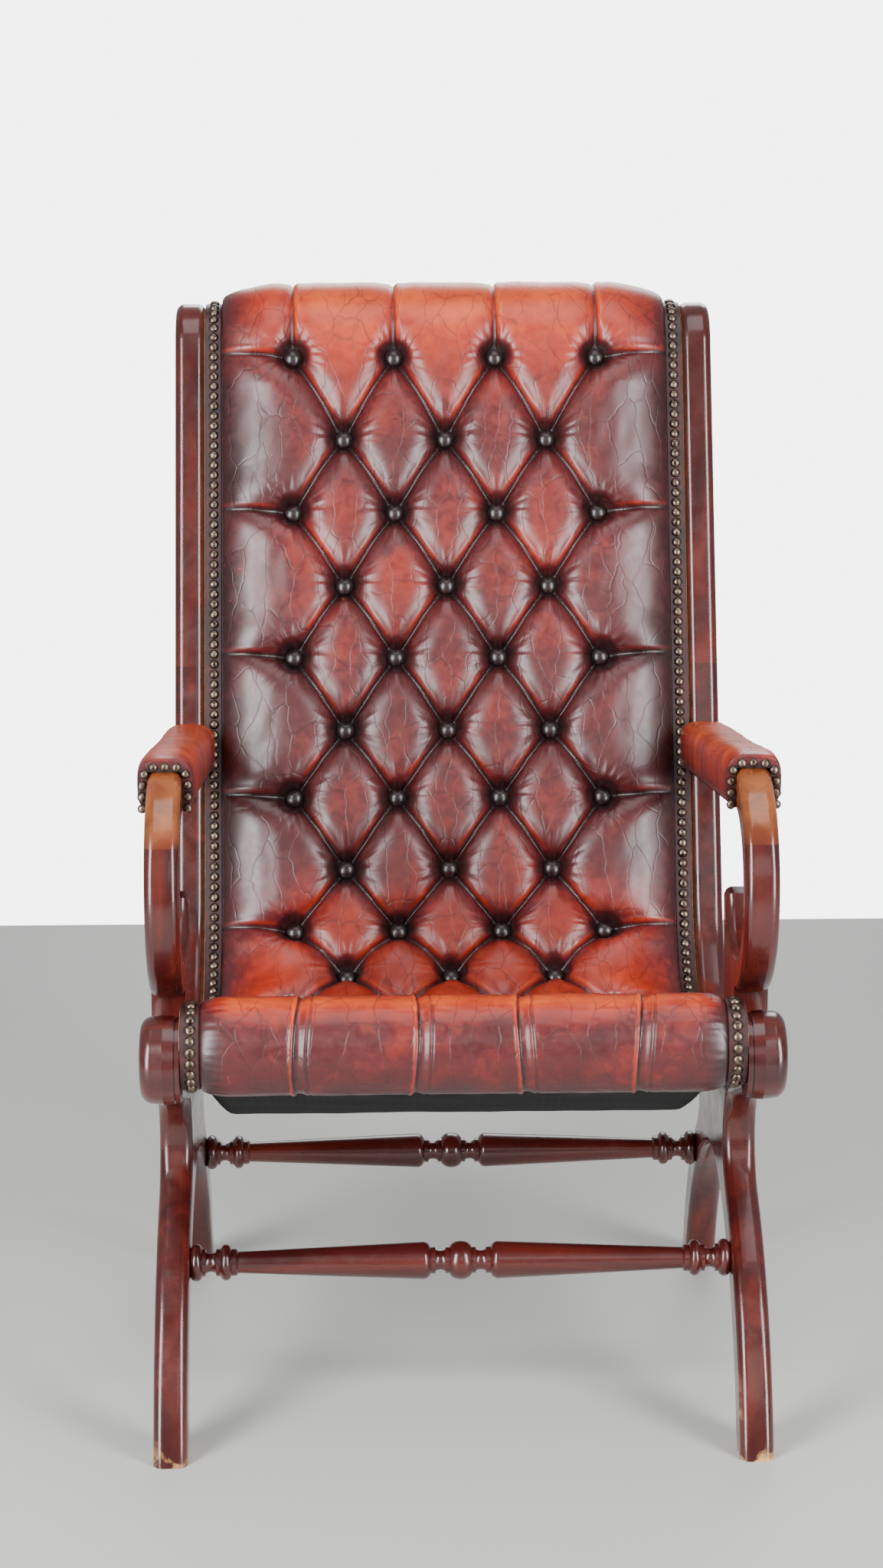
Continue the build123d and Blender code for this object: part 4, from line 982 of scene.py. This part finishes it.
world = bpy.data.worlds.new("studioSky")
bpy.context.scene.world = world
world.use_nodes = True
sky = world.node_tree
sky.nodes.clear()
glow, backdrop = [
    addNode(sky, "ShaderNodeBackground", {"Color": linearColour(studio["sky"]), "Strength": studio[strength]})
    for strength in ("skyStrength", "backdropStrength")]
seen = addNode(sky, "ShaderNodeLightPath").outputs["Is Camera Ray"]
both = addNode(sky, "ShaderNodeMixShader", links={0: seen, 1: glow, 2: backdrop})
addNode(sky, "ShaderNodeOutputWorld", links={"Surface": both})


def softLight(name, place, target, size, power):
    light = bpy.data.lights.new(name, "AREA")
    light.shape = "RECTANGLE"
    light.size, light.size_y = size
    light.energy = power
    lamp = bpy.data.objects.new(name, light)
    lamp.location = place
    lamp.rotation_euler = (Vector(target) - Vector(place)).to_track_quat("-Z", "Y").to_euler()
    bpy.context.scene.collection.objects.link(lamp)


lights = {
    "leftWindow": {"place": (-1.75, -2.1, 1.3), "target": (0, 0, 0.6), "size": (0.9, 2.5), "power": 165},
    "rightWindow": {"place": (1.85, -2.0, 1.3), "target": (0, 0, 0.6), "size": (0.8, 2.5), "power": 130},
    "ceilingLight": {"place": (0.1, -0.5, 2.9), "target": (0, 0, 0.4), "size": (1.6, 1.6), "power": 22},
    "wallBounce": {"place": (0.4, 3.2, 2.3), "target": (0, 0, 0.3), "size": (2.2, 1.6), "power": 55},
    "frontLight": {"place": (0.3, -3.6, 2.0), "target": (0, 0, 0.5), "size": (1.2, 1.2), "power": 6},
}
for name, light in lights.items():
    softLight(name, **light)

# Pixels are those of a picture as high as imageHeight, and angles are in degrees
view = {"focalPixels": 4167.7, "imageHeight": 2048, "principalRow": 1019.3, "sensor": 24.0,
        "pitch": 11.997, "yaw": 1.407, "roll": 0.125, "place": (-0.08442, -2.68465, 1.20591)}
lens = bpy.data.cameras.new("viewCamera")
lens.sensor_fit = "VERTICAL"
lens.sensor_height = view["sensor"]
lens.lens = view["focalPixels"] * view["sensor"] / view["imageHeight"]
lens.shift_y = (view["principalRow"] - view["imageHeight"] / 2) / view["imageHeight"]
lens.clip_end = 40
camera = bpy.data.objects.new("viewCamera", lens)
camera.location = (view["place"][0], view["place"][1] - profile["middleY"], view["place"][2])
camera.rotation_euler = [math.radians(angle) for angle in (90 - view["pitch"], view["roll"], -view["yaw"])]
bpy.context.scene.collection.objects.link(camera)
bpy.context.scene.camera = camera
print("studio ready")
